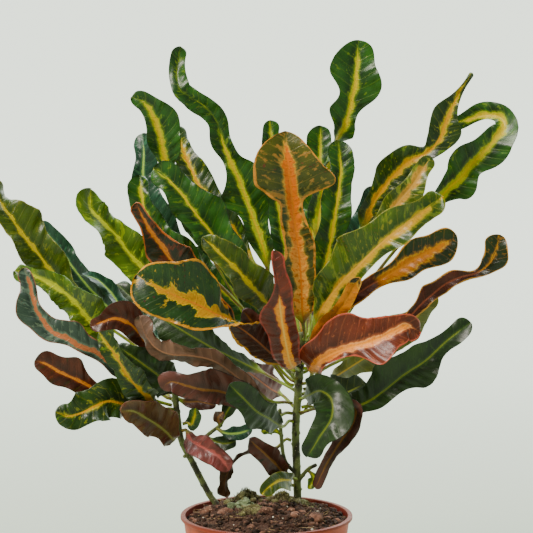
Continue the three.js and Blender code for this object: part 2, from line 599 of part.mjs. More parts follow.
// The midrib's curve: out of the stem's side, then along the leaf's route. A small leaf has no
// seat, since its route starts inside the stem or twig that carries it.
function leafCurve({ stem, seat, route }) {
  if (!seat) return new THREE.CatmullRomCurve3(route.map(placed), false, "centripetal");
  const [height, compass] = seat;
  const outward = new THREE.Vector3(Math.cos(degrees(compass)), Math.sin(degrees(compass)), 0);
  const root = axisAt(stemCurves[stem], height);
  const start = STEMS[stem].radius + 2 * GAP;
  const elbow = 4;
  const elbowRise = 1;
  const points = [
    root.clone().addScaledVector(outward, start),
    root.clone().addScaledVector(outward, start + elbow).add(new THREE.Vector3(0, 0, elbowRise)),
    ...route.map(placed),
  ];
  return new THREE.CatmullRomCurve3(points, false, "centripetal");
}

// One leaf as a closed strip: five points across each face, petiole and blade in one piece
const ACROSS = [-1, -0.5, 0, 0.5, 1];
const LOOP = ACROSS.length * 2;
const LAST = ACROSS.length - 1;

// Places along the midrib, from 0 at the stem to 1 at the tip, that lie closer in the rounded tip
function stationsOf(leaf, length) {
  const petiole = leaf.bare * length;
  const tip = tipLength(leaf);
  const blade = length - petiole - tip;
  const petioleSteps = Math.max(2, Math.round(petiole / PETIOLE_STEP));
  const bladeSteps = THREE.MathUtils.clamp(Math.round(blade / BLADE_STEP), FEWEST_STEPS, MOST_STEPS);
  const distances = [];
  for (let i = 0; i < petioleSteps; i++) distances.push((petiole * i) / petioleSteps);
  for (let i = 0; i <= bladeSteps; i++) distances.push(petiole + (blade * i) / bladeSteps);
  for (const share of TIP_STEPS) distances.push(length - tip * share);
  return distances.map((distance) => distance / length);
}

function tipLength({ left, right }) {
  return Math.max(left.at(-1), right.at(-1));
}

// A blade ends in a round tip, which begins one half-width before its end
function roundEnd(leaf, distanceToEnd) {
  const share = THREE.MathUtils.clamp(distanceToEnd / tipLength(leaf), 0, 1);
  return Math.sqrt(1 - (1 - share) ** 2);
}

// Directions at each place, worked out from the tip back to the stem: along the midrib, out of the
// blade's upper face and across it. The upper face follows the viewer's direction, and where the
// midrib points at the viewer it keeps the direction that it had.
const POINTS_AT_VIEWER = 0.15;
const CLEAR_OF_VIEWER = 0.55;

function framesOf(leaf, curve, places) {
  const frames = [];
  let facing = new THREE.Vector3(0, -1, 0);
  for (const place of places.toReversed()) {
    const centre = curve.getPointAt(place);
    const ahead = curve.getTangentAt(place);
    const toViewer = viewer.clone().sub(centre).normalize();
    const seen = squareTo(ahead, toViewer);
    const trust = THREE.MathUtils.smoothstep(seen.length(), POINTS_AT_VIEWER, CLEAR_OF_VIEWER);
    facing = squareTo(ahead, facing).normalize().lerp(seen.normalize(), trust).normalize();
    const aside = ahead.clone().cross(facing);
    const turn = degrees(along(leaf.turn, place));
    const upper = facing.clone().multiplyScalar(Math.cos(turn)).addScaledVector(aside, Math.sin(turn));
    frames.unshift({ centre, ahead, upper, across: ahead.clone().cross(upper) });
  }
  return frames;
}

function squareTo(ahead, direction) {
  return direction.clone().addScaledVector(ahead, -direction.dot(ahead));
}

// How wide the inside of a bend may be before the blade would cross itself
function roomInBend(curve, place, across, side) {
  const before = curve.getTangentAt(Math.max(0, place - BEND_REACH));
  const after = curve.getTangentAt(Math.min(1, place + BEND_REACH));
  const bend = after.sub(before).dot(across) * side;
  return bend > 0 ? (BEND_SHARE * curve.getLength() * 2 * BEND_REACH) / bend : Infinity;
}

function leafGeometry(leaf) {
  const curve = leafCurve(leaf);
  const length = curve.getLength();
  const places = stationsOf(leaf, length);
  const [waveHeight, waveCount, waveStart] = leaf.wave;
  const fold = degrees(BLADE_FOLD);
  const droop = leaf.droop ?? 0;
  const ends = { [-1]: leaf.left, [1]: leaf.right };
  const positions = [];
  const frames = framesOf(leaf, curve, places);
  for (const [i, place] of places.entries()) {
    const { centre, ahead, upper, across } = frames[i];
    const t = (place - leaf.bare) / (1 - leaf.bare);
    const onBlade = THREE.MathUtils.smoothstep(t, 0, BLADE_ONSET);
    const row = [];
    for (const u of ACROSS) {
      const side = u < 0 ? -1 : 1;
      const start = side < 0 ? waveStart : waveStart + OTHER_MARGIN_START;
      const angle = 2 * Math.PI * (waveCount * t + start);
      const lobe = 1 + LOBE_SHARE * onBlade * Math.cos(angle);
      const drawn = along([PETIOLE_HALF, ...ends[side], ends[side].at(-1)], t) * lobe;
      const bounded = Math.min(drawn, roomInBend(curve, place, across, side));
      const half = Math.max(TIP_HALF, bounded * roundEnd(leaf, (1 - place) * length));
      const wave = waveHeight * onBlade * u * u * Math.sin(angle);
      const lift = Math.abs(u) * half * Math.sin(fold) * onBlade + wave;
      const point = centre.clone()
        .addScaledVector(across, u * half * Math.cos(fold * onBlade))
        .addScaledVector(upper, lift)
        .addScaledVector(ahead, -droop * half * u * u * onBlade);
      const near = (1 - Math.abs(u)) ** 2;
      const rib = (RIB_THICK - BLADE_THICK) * near * (1 - RIB_FADE * Math.max(0, t));
      const blade = BLADE_THICK + rib;
      const petiole = PETIOLE_THICK * (1 - PETIOLE_EDGE_THIN * u * u);
      row.push({ point, thick: THREE.MathUtils.lerp(petiole, blade, onBlade) });
    }
    const faces = [
      ...row.map(({ point, thick }) => point.clone().addScaledVector(upper, thick / 2)),
      ...row.map(({ point, thick }) => point.clone().addScaledVector(upper, -thick / 2)).reverse(),
    ];
    for (const point of faces) positions.push(point.x, point.y, point.z);
  }
  return stripGeometry(positions, places.length);
}

// Triangles of a strip: both faces are split alike, the margins and the two ends are closed
function stripGeometry(positions, rows) {
  const over = (i, k) => i * LOOP + k;
  const under = (i, k) => i * LOOP + LOOP - 1 - k;
  const index = [];
  const quad = (a, b, c, d) => index.push(a, b, c, a, c, d);
  for (let i = 0; i < rows - 1; i++) {
    for (let k = 0; k < LAST; k++) {
      quad(over(i, k), over(i, k + 1), over(i + 1, k + 1), over(i + 1, k));
      index.push(under(i, k), under(i + 1, k + 1), under(i, k + 1));
      index.push(under(i, k), under(i + 1, k), under(i + 1, k + 1));
    }
    quad(over(i, 0), over(i + 1, 0), under(i + 1, 0), under(i, 0));
    quad(over(i, LAST), under(i, LAST), under(i + 1, LAST), over(i + 1, LAST));
  }
  const end = rows - 1;
  for (let k = 0; k < LAST; k++) {
    quad(over(0, k), under(0, k), under(0, k + 1), over(0, k + 1));
    quad(over(end, k), over(end, k + 1), under(end, k + 1), under(end, k));
  }
  const geometry = new THREE.BufferGeometry();
  geometry.setAttribute("position", new THREE.Float32BufferAttribute(positions, 3));
  geometry.setIndex(index);
  geometry.computeVertexNormals();
  return geometry;
}

// Joins and cuts
function solidOf(geometry) {
  const bare = geometry.clone();
  bare.deleteAttribute("normal");
  bare.deleteAttribute("uv");
  const merged = mergeVertices(bare, WELD);
  return new wasm.Manifold(
    new wasm.Mesh({
      numProp: 3,
      vertProperties: merged.attributes.position.array,
      triVerts: Uint32Array.from(merged.index.array),
    }),
  );
}

function geometryOf(solid) {
  const mesh = solid.simplify(SLIVER).getMesh();
  const geometry = new THREE.BufferGeometry();
  geometry.setAttribute("position", new THREE.Float32BufferAttribute(mesh.vertProperties, 3));
  geometry.setIndex(new THREE.BufferAttribute(mesh.triVerts, 1));
  geometry.computeVertexNormals();
  return geometry;
}

function tube(curve, radius, steps) {
  const section = new THREE.Shape();
  for (let i = 0; i < STEM_SIDES; i++) {
    const angle = (2 * Math.PI * i) / STEM_SIDES;
    section[i ? "lineTo" : "moveTo"](radius * Math.cos(angle), radius * Math.sin(angle));
  }
  section.closePath();
  return new THREE.ExtrudeGeometry(section, { steps, bevelEnabled: false, extrudePath: curve });
}

function upright(radius, height, sides, x, y, z) {
  const geometry = new THREE.CylinderGeometry(radius, radius, height, sides);
  geometry.rotateX(Math.PI / 2);
  geometry.translate(x, y, z);
  return geometry;
}

// Pot: one thin wall turned about the axis, with a lip and a ring of drainage holes
function potGeometry() {
  const wallTop = RIM_RADIUS - LIP_WIDTH;
  const lipUnder = POT_HEIGHT - LIP_HEIGHT;
  const profile = [
    [0, 0],
    [BASE_RADIUS - SOFT_EDGE, 0],
    [BASE_RADIUS, SOFT_EDGE],
    [wallTop, lipUnder],
    [RIM_RADIUS, lipUnder + SOFT_EDGE / 2],
    [RIM_RADIUS, POT_HEIGHT - SOFT_EDGE],
    [RIM_RADIUS - SOFT_EDGE, POT_HEIGHT],
    [wallTop - POT_WALL + SOFT_EDGE, POT_HEIGHT],
    [wallTop - POT_WALL, POT_HEIGHT - SOFT_EDGE],
    [BASE_RADIUS - POT_WALL, POT_FLOOR],
    [0, POT_FLOOR],
  ];
  const throughFloor = 4 * POT_FLOOR;
  let pot = solidOf(turned(profile, POT_SIDES));
  for (let i = 0; i < DRAIN_HOLES; i++) {
    const angle = (2 * Math.PI * i) / DRAIN_HOLES;
    const x = DRAIN_CIRCLE * Math.cos(angle);
    const y = DRAIN_CIRCLE * Math.sin(angle);
    pot = pot.subtract(solidOf(upright(DRAIN_RADIUS, throughFloor, DRAIN_SIDES, x, y, 0)));
  }
  return geometryOf(pot);
}

function turned(profile, sides) {
  const geometry = new THREE.LatheGeometry(profile.map(([r, z]) => new THREE.Vector2(r, z)), sides);
  geometry.rotateX(Math.PI / 2);
  return geometry;
}

// Soil: it fills the pot to a low, lumpy mound, and the stems stand in plain holes in it
function soilGeometry() {
  const bottom = POT_FLOOR + GAP;
  const slope = (RIM_RADIUS - LIP_WIDTH - BASE_RADIUS) / (POT_HEIGHT - LIP_HEIGHT);
  const radiusAt = (z) => BASE_RADIUS - POT_WALL - 2 * GAP + slope * z;
  const edge = radiusAt(SOIL_EDGE);
  const profile = [[0, bottom], [radiusAt(bottom), bottom], [edge, SOIL_EDGE]];
  for (let i = 1; i <= SOIL_RINGS; i++) {
    const r = edge * (1 - i / SOIL_RINGS);
    profile.push([r, soilHeight(r, 0)]);
  }
  const geometry = turned(profile, SOIL_SIDES);
  const position = geometry.attributes.position;
  for (let i = 0; i < position.count; i++) {
    const [x, y, z] = [position.getX(i), position.getY(i), position.getZ(i)];
    if (z < SOIL_EDGE || Math.hypot(x, y) > edge - 1) continue;
    const lump = Math.sin(LUMP_ACROSS * x) * Math.cos(LUMP_DEEP * y) + Math.sin(LUMP_SLANTED * (x - y));
    position.setZ(i, z + (SOIL_LUMP * lump) / 2);
  }
  let soil = solidOf(geometry);
  for (const { foot, radius } of Object.values(STEMS)) {
    const [x, y] = foot;
    const hole = upright(radius + 2 * GAP, 2 * ROOT_DEPTH, 2 * STEM_SIDES, x, y, soilHeight(x, y));
    hole.translate(0, 0, -GAP);
    soil = soil.subtract(solidOf(hole));
  }
  return geometryOf(soil);
}

// Stems: a tube with a rounded tip, its twigs and its small leaves
function stemGeometry(name, twigs) {
  const { radius } = STEMS[name];
  const curve = stemCurves[name];
  let solid = solidOf(tube(curve, radius, STEM_STEPS));
  const top = curve.getPointAt(1);
  const bud = new THREE.SphereGeometry(radius * BUD_SHARE, STEM_SIDES, STEM_SIDES / 2);
  bud.translate(top.x, top.y, top.z);
  solid = solid.add(solidOf(bud));
  for (const { route, radius: twigRadius } of twigs) {
    const twig = new THREE.CatmullRomCurve3(route.map(placed), false, "centripetal");
    solid = solid.add(solidOf(tube(twig, twigRadius, 2 * route.length)));
  }
  for (const shoot of SHOOTS[name]) {
    const leaf = solidOf(leafGeometry(shoot)).simplify(SMALL_LEAF_DETAIL);
    solid = solid.add(leaf);
  }
  return geometryOf(solid);
}

const MAIN_TWIGS = [
  { radius: TWIG_RADIUS, route: [[22, 146, 28], [14, 156, 22], [11, 176, 16], [10, 196, 12]] },
  { radius: TWIG_RADIUS, route: [[24, 140, 29], [31, 149, 24], [38, 153, 18]] },
];
const SIDE_TWIGS = [
  { radius: TWIG_RADIUS, route: [[-58, 160, 35], [-63, 159, 32]] },
  {
    radius: TWIG_RADIUS,
    route: [[-62, 167, 34], [-48, 173, 29], [-40, 179, 24], [-33, 184, 21]],
  },
];

const ROUGHNESS = { leaf: 0.4, pot: 0.5, matt: 0.9 };

function finish(colour, surface) {
  return new THREE.MeshStandardMaterial({
    color: COLOURS[colour], roughness: ROUGHNESS[surface], metalness: 0,
  });
}

const plant = new THREE.Group();
function add(name, geometry, material) {
  const mesh = new THREE.Mesh(geometry, material);
  mesh.name = name;
  plant.add(mesh);
}

add("pot", potGeometry(), finish("pot", "pot"));
add("soil", soilGeometry(), finish("soil", "matt"));
add("stem_main", stemGeometry("main", MAIN_TWIGS), finish("stem", "matt"));
add("stem_side", stemGeometry("side", SIDE_TWIGS), finish("stem", "matt"));
for (const leaf of LEAVES) add(leaf.name, leafGeometry(leaf), finish(leaf.colour, "leaf"));

export default plant;
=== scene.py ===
"""Looks of a potted croton: variegated, waved leaves on two stems in a plastic nursery pot.

Sizes are millimetres in the tables and classes, and turn to metres where a mesh is made.
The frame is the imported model's: +Z is up and the origin is the centre of the pot's underside.
"""
from __future__ import annotations

import logging
import math
from dataclasses import dataclass, field
from enum import Enum

import bmesh
import bpy
import numpy as np
from bpy.types import ID, Material, Mesh, NodeSocket, Object
from mathutils import Matrix, Vector, noise


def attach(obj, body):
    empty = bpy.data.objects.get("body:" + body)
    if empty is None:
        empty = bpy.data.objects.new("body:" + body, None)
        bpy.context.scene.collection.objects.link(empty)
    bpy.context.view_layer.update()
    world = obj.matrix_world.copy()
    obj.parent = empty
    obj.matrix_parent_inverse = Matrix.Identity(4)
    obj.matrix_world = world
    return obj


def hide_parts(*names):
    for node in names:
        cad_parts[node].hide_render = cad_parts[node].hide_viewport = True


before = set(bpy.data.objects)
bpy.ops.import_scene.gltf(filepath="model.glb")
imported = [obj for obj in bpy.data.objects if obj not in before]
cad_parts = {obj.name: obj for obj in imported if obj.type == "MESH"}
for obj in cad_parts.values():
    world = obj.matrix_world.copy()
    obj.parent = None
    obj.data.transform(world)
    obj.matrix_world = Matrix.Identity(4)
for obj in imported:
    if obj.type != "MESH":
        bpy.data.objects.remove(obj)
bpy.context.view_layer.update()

LOG = logging.getLogger("croton")
MM = 0.001
BODY = "root"
MOST_NOISE = (0.3, 0.7)  # where most values of a noise lie
Pair = tuple[float, float]
Triple = tuple[float, float, float]
Points = list[Triple]
Array = np.ndarray
Part = tuple[Array, list]


# Shared helpers


def linear(colour: str, share: float = 1.0) -> tuple[float, ...]:
    """Turn an sRGB hex colour into a linear one.

    Args:
        colour: the colour as "#rrggbb".
        share: how much of its light is kept, for a deeper tone of it.

    Returns:
        Linear red, green, blue and an alpha of 1.
    """
    channels = [int(colour[i:i + 2], 16) / 255 for i in (1, 3, 5)]
    low = 0.04045
    plain = [c / 12.92 if c <= low else ((c + 0.055) / 1.055) ** 2.4 for c in channels]
    return (*[share * c for c in plain], 1.0)


def pattern_scale(size: float) -> float:
    """The scale that gives a pattern lumps of that size in mm."""
    return 1 / (size * MM)


class Kind(Enum):
    """The nodes that finishes are made of: type, settings, and the output that is read."""

    ADD = ("ShaderNodeMath", {"operation": "ADD"}, 0)
    SUBTRACT = ("ShaderNodeMath", {"operation": "SUBTRACT"}, 0)
    MULTIPLY = ("ShaderNodeMath", {"operation": "MULTIPLY"}, 0)
    MULTIPLY_ADD = ("ShaderNodeMath", {"operation": "MULTIPLY_ADD"}, 0)
    PINGPONG = ("ShaderNodeMath", {"operation": "PINGPONG"}, 0)
    SOFT = ("ShaderNodeMapRange", {"interpolation_type": "SMOOTHSTEP"}, 0)
    EVEN = ("ShaderNodeMapRange", {"interpolation_type": "LINEAR"}, 0)
    STRETCH = ("ShaderNodeVectorMath", {"operation": "MULTIPLY"}, 0)
    JOIN = ("ShaderNodeCombineXYZ", {}, 0)
    SPLIT = ("ShaderNodeSeparateXYZ", {}, 0)
    NOTED = ("ShaderNodeAttribute", {}, "Vector")
    PLACE = ("ShaderNodeTexCoord", {}, "Object")
    NOISE = ("ShaderNodeTexNoise", {}, 0)
    PORES = ("ShaderNodeTexVoronoi", {}, "Distance")
    LAYER = ("ShaderNodeMix", {"data_type": "RGBA"}, 2)
    BUMP = ("ShaderNodeBump", {}, 0)
    SHADER = ("ShaderNodeBsdfPrincipled", {}, 0)
    END = ("ShaderNodeOutputMaterial", {}, None)


class Nodes:
    """The node tree of a new material."""

    def __init__(self, name: str) -> None:
        """Start an empty material.

        Args:
            name: the material's name.
        """
        self.material = bpy.data.materials.new(name)
        self.material.use_nodes = True
        self.tree = self.material.node_tree
        self.tree.nodes.clear()

    def put(self, kind: Kind, inputs: list | dict | None = None,
            **settings: str) -> NodeSocket | None:
        """Add one node, with its settings and what goes into it.

        Args:
            kind: which node it is.
            inputs: a value, a hex colour or another node's output for each of its inputs, in
                order, or by the number or name of the input.
            settings: its own further properties by name.

        Returns:
            The output that is read, or None for the end of the material.
        """
        type_name, shared, output = kind.value
        node = self.tree.nodes.new(type_name)
        for name, value in {**shared, **settings}.items():
            setattr(node, name, value)
        given = inputs if isinstance(inputs, dict) else dict(enumerate(inputs or []))
        for key, value in given.items():
            if isinstance(value, NodeSocket):
                self.tree.links.new(value, node.inputs[key])
            else:
                node.inputs[key].default_value = linear(value) if isinstance(value, str) else value
        return None if output is None else node.outputs[output]

    def layered(self, base: object, layers: list[tuple[object, object]]) -> NodeSocket:
        """Lay colours over one another, each where its mask is 1.

        Args:
            base: the lowest colour.
            layers: pairs of mask and colour, from the lowest up.

        Returns:
            The colour that shows.
        """
        for mask, colour in layers:
            base = self.put(Kind.LAYER, {0: mask, 6: base, 7: colour})
        return base

    def surface(self, inputs: dict) -> Material:
        """End the material in its shader.

        Args:
            inputs: what the shader is given.

        Returns:
            The finished material.
        """
        self.put(Kind.END, {"Surface": self.put(Kind.SHADER, inputs)})
        return self.material


def note(mesh: Mesh, key: str, values: Array) -> None:
    """Keep three values at each point of a mesh, for its material to read under that key."""
    layer = mesh.attributes.new(key, "FLOAT_VECTOR", "POINT")
    layer.data.foreach_set("vector", np.asarray(values, dtype=np.float32).ravel())


def mesh_object(name: str, vertices: Array, faces: list, material: Material,
                attributes: dict[str, Array] | None = None) -> Object:
    """Make a smooth mesh object from points in mm.

    Args:
        name: the piece's name.
        vertices: its points, in mm.
        faces: its faces, as lists of point numbers.
        material: its material.
        attributes: values at each point that the material reads, three to a point.

    Returns:
        The object, linked to the scene.
    """
    mesh = bpy.data.meshes.new(name)
    mesh.from_pydata((np.asarray(vertices) * MM).tolist(), [], faces)
    mesh.shade_smooth()
    for key, values in (attributes or {}).items():
        note(mesh, key, values)
    mesh.materials.append(material)
    return linked(name, mesh)


def linked(name: str, data: ID) -> Object:
    """Make an object in the scene.

    Args:
        name: its name.
        data: its mesh, light or camera.

    Returns:
        The object.
    """
    thing = bpy.data.objects.new(name, data)
    bpy.context.scene.collection.objects.link(thing)
    return thing


def settle(piece: Object, slot: str, *nodes: str) -> Object:
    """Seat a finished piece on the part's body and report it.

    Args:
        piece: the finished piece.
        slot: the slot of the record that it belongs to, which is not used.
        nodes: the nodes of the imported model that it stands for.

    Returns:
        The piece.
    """
    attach(piece, BODY)
    if nodes:
        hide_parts(*nodes)
    triangles = sum(len(face.vertices) - 2 for face in piece.data.polygons)
    LOG.info("%s: %d triangles", piece.name, triangles)
    return piece


def along(values: list[float], places: Array) -> Array:
    """Read a smooth value along evenly spaced ones.

    Args:
        values: the evenly spaced values.
        places: where to read, from 0 at the first value to 1 at the last.

    Returns:
        The value at each place.
    """
    v = np.asarray(values, dtype=float)
    last = len(v) - 1
    scaled = np.clip(places, 0, 1) * last
    i = np.minimum(scaled.astype(int), last - 1)
    w = scaled - i
    before, a, b, after = v[np.maximum(i - 1, 0)], v[i], v[i + 1], v[np.minimum(i + 2, last)]
    rise, fall = (b - before) / 2, (after - a) / 2
    cubic, square = 2 * a - 2 * b + rise + fall, 3 * b - 3 * a - 2 * rise - fall
    return cubic * w**3 + square * w**2 + rise * w + a


def smoothstep(x: Array, low: float, high: float) -> Array:
    """Rise softly from 0 at low to 1 at high."""
    t = np.clip((x - low) / (high - low), 0, 1)
    return t * t * (3 - 2 * t)


def unit(vectors: Array) -> Array:
    """Scale each vector to a length of 1."""
    return vectors / np.maximum(np.linalg.norm(vectors, axis=-1, keepdims=True), 1e-9)


def round_turn(sides: int) -> Array:
    """Evenly spaced angles once round, in radians."""
    return np.arange(sides) * 2 * math.pi / sides


def tube_faces(rows: int, sides: int) -> list[tuple[int, ...]]:
    """Faces of a tube of rings, closed with one face at each end.

    Args:
        rows: how many rings.
        sides: points in each ring.

    Returns:
        Faces as point numbers.
    """
    faces = [(i * sides + k, i * sides + (k + 1) % sides,
              (i + 1) * sides + (k + 1) % sides, (i + 1) * sides + k)
             for i in range(rows - 1) for k in range(sides)]
    end = (rows - 1) * sides
    return [*faces, tuple(reversed(range(sides))), tuple(range(end, end + sides))]


def joined(parts: list[Part]) -> Part:
    """Put several lots of points and faces together.

    Args:
        parts: the points and faces of each lot.

    Returns:
        All the points and all the faces.
    """
    points, faces, base = [], [], 0
    for part_points, part_faces in parts:
        points.append(part_points)
        faces += [tuple(k + base for k in face) for face in part_faces]
        base += len(part_points)
    return np.concatenate(points), faces


class Curve:
    """A smooth curve through a few points, followed by its length."""

    SAMPLES = 900
    NUDGE = 1e-4

    def __init__(self, points: Array) -> None:
        """Fit the curve.

        Args:
            points: what it passes through, in mm.
        """
        first, last = 2 * points[0] - points[1], 2 * points[-1] - points[-2]
        self.control = np.vstack([first, points, last])
        self.gaps = np.sqrt(np.linalg.norm(np.diff(self.control, axis=0), axis=1))
        self.parameters = np.linspace(0, 1, self.SAMPLES)
        steps = np.linalg.norm(np.diff(self.raw(self.parameters), axis=0), axis=1)
        self.lengths = np.concatenate([[0], np.cumsum(steps)])
        self.length = float(self.lengths[-1])

    def raw(self, t: Array) -> Array:
        """Points at parameters, which aren't evenly spaced in length.

        Args:
            t: the parameters, from 0 to 1.

        Returns:
            The points, in mm.
        """
        spans = len(self.gaps) - 2
        scaled = np.clip(t, 0, 1) * spans
        i = np.minimum(scaled.astype(int), spans - 1)
        w = (scaled - i)[:, None]
        a, b, c, d = (self.control[i + k] for k in range(4))
        g, h, j = (self.gaps[i + k][:, None] for k in range(3))
        leave = ((b - a) / g - (c - a) / (g + h) + (c - b) / h) * h
        reach = ((c - b) / h - (d - b) / (h + j) + (d - c) / j) * h
        bend = 3 * (c - b) - 2 * leave - reach
        return b + leave * w + bend * w**2 + (2 * (b - c) + leave + reach) * w**3

    def parameter(self, places: Array) -> Array:
        """Parameters of places along the length, from 0 to 1."""
        return np.interp(np.clip(places, 0, 1) * self.length, self.lengths, self.parameters)

    def point(self, places: Array) -> Array:
        """Points at places along the length, from 0 to 1."""
        return self.raw(self.parameter(places))

    def ahead(self, places: Array) -> Array:
        """Directions at places along the length, from 0 to 1."""
        t = self.parameter(places)
        return unit(self.raw(t + self.NUDGE) - self.raw(t - self.NUDGE))

    def at_height(self, height: float) -> Array:
        """The point of a rising curve at that height."""
        line = self.raw(self.parameters)
        return np.array([np.interp(height, line[:, 2], line[:, k]) for k in range(3)])


@dataclass(frozen=True)
class Viewpoint:
    """Where a viewer stands in front of the plant, a little above it, and what the camera takes in.

    The plant's tables give points as this viewer sees them: across, up, and how far behind the
    upright plane through the pot's axis. The pitch is down, in degrees.
    """

    distance: float = 1350.0
    height: float = 434.0
    pitch: float = 5.54
    lens: float = 122.7
    sensor: float = 36.0
    clip: Pair = (0.1, 20.0)

    @property
    def eye(self) -> Array:
        """The viewer's place, in mm."""
        return np.array([0.0, -self.distance, self.height])

    def placed(self, points: Points) -> Array:
        """Turn seen points into real ones.

        Args:
            points: across, up and behind, in mm.

        Returns:
            The points in the plant's frame, in mm.
        """
        seen = np.asarray(points, dtype=float)
        on_plane = np.stack([seen[:, 0], np.zeros(len(seen)), seen[:, 1]], axis=1)
        return self.eye + (on_plane - self.eye) * (1 + seen[:, 2:3] / self.distance)

    def camera(self) -> None:
        """Set the camera at the viewer's place."""
        data = bpy.data.cameras.new("viewer")
        data.lens, data.sensor_width = self.lens, self.sensor
        data.clip_start, data.clip_end = self.clip
        camera = linked("viewer", data)
        camera.location = Vector(self.eye * MM)
        camera.rotation_euler = (math.radians(90 - self.pitch), 0, 0)
        bpy.context.scene.camera = camera


VIEWER = Viewpoint()


# Leaves


@dataclass(frozen=True)
class LeafFinish:
    """A living croton leaf: waxy skin over pigment that follows the midrib and its side veins.

    To the eye it is a satin leaf with a bright feathered band. Widths are in mm. The rib is the
    coloured band along the midrib, with a core along its middle, a fringe at its edges and
    another colour near the leaf's base. The shade darkens the blade near the rib and in broad
    clouds. Patches and flecks lie between the veins, and the margin is a thin coloured rim.
    The shares say how much of them there is, and gloss is the wax's roughness. Several looks
    may share a slot of the record.
    """

    slot: str
    blade: str
    shade: str
    rib: str
    rib_half: float
    feather: float
    rim: str
    rim_width: float
    under: str
    under_rib: str
    patch: str = "#000000"
    patch_share: float = 0.0
    fleck: str = "#6a8a2a"
    fleck_share: float = 0.2
    core: str = ""
    fringe: str = ""
    rib_base: str = ""
    gloss: float = 0.3


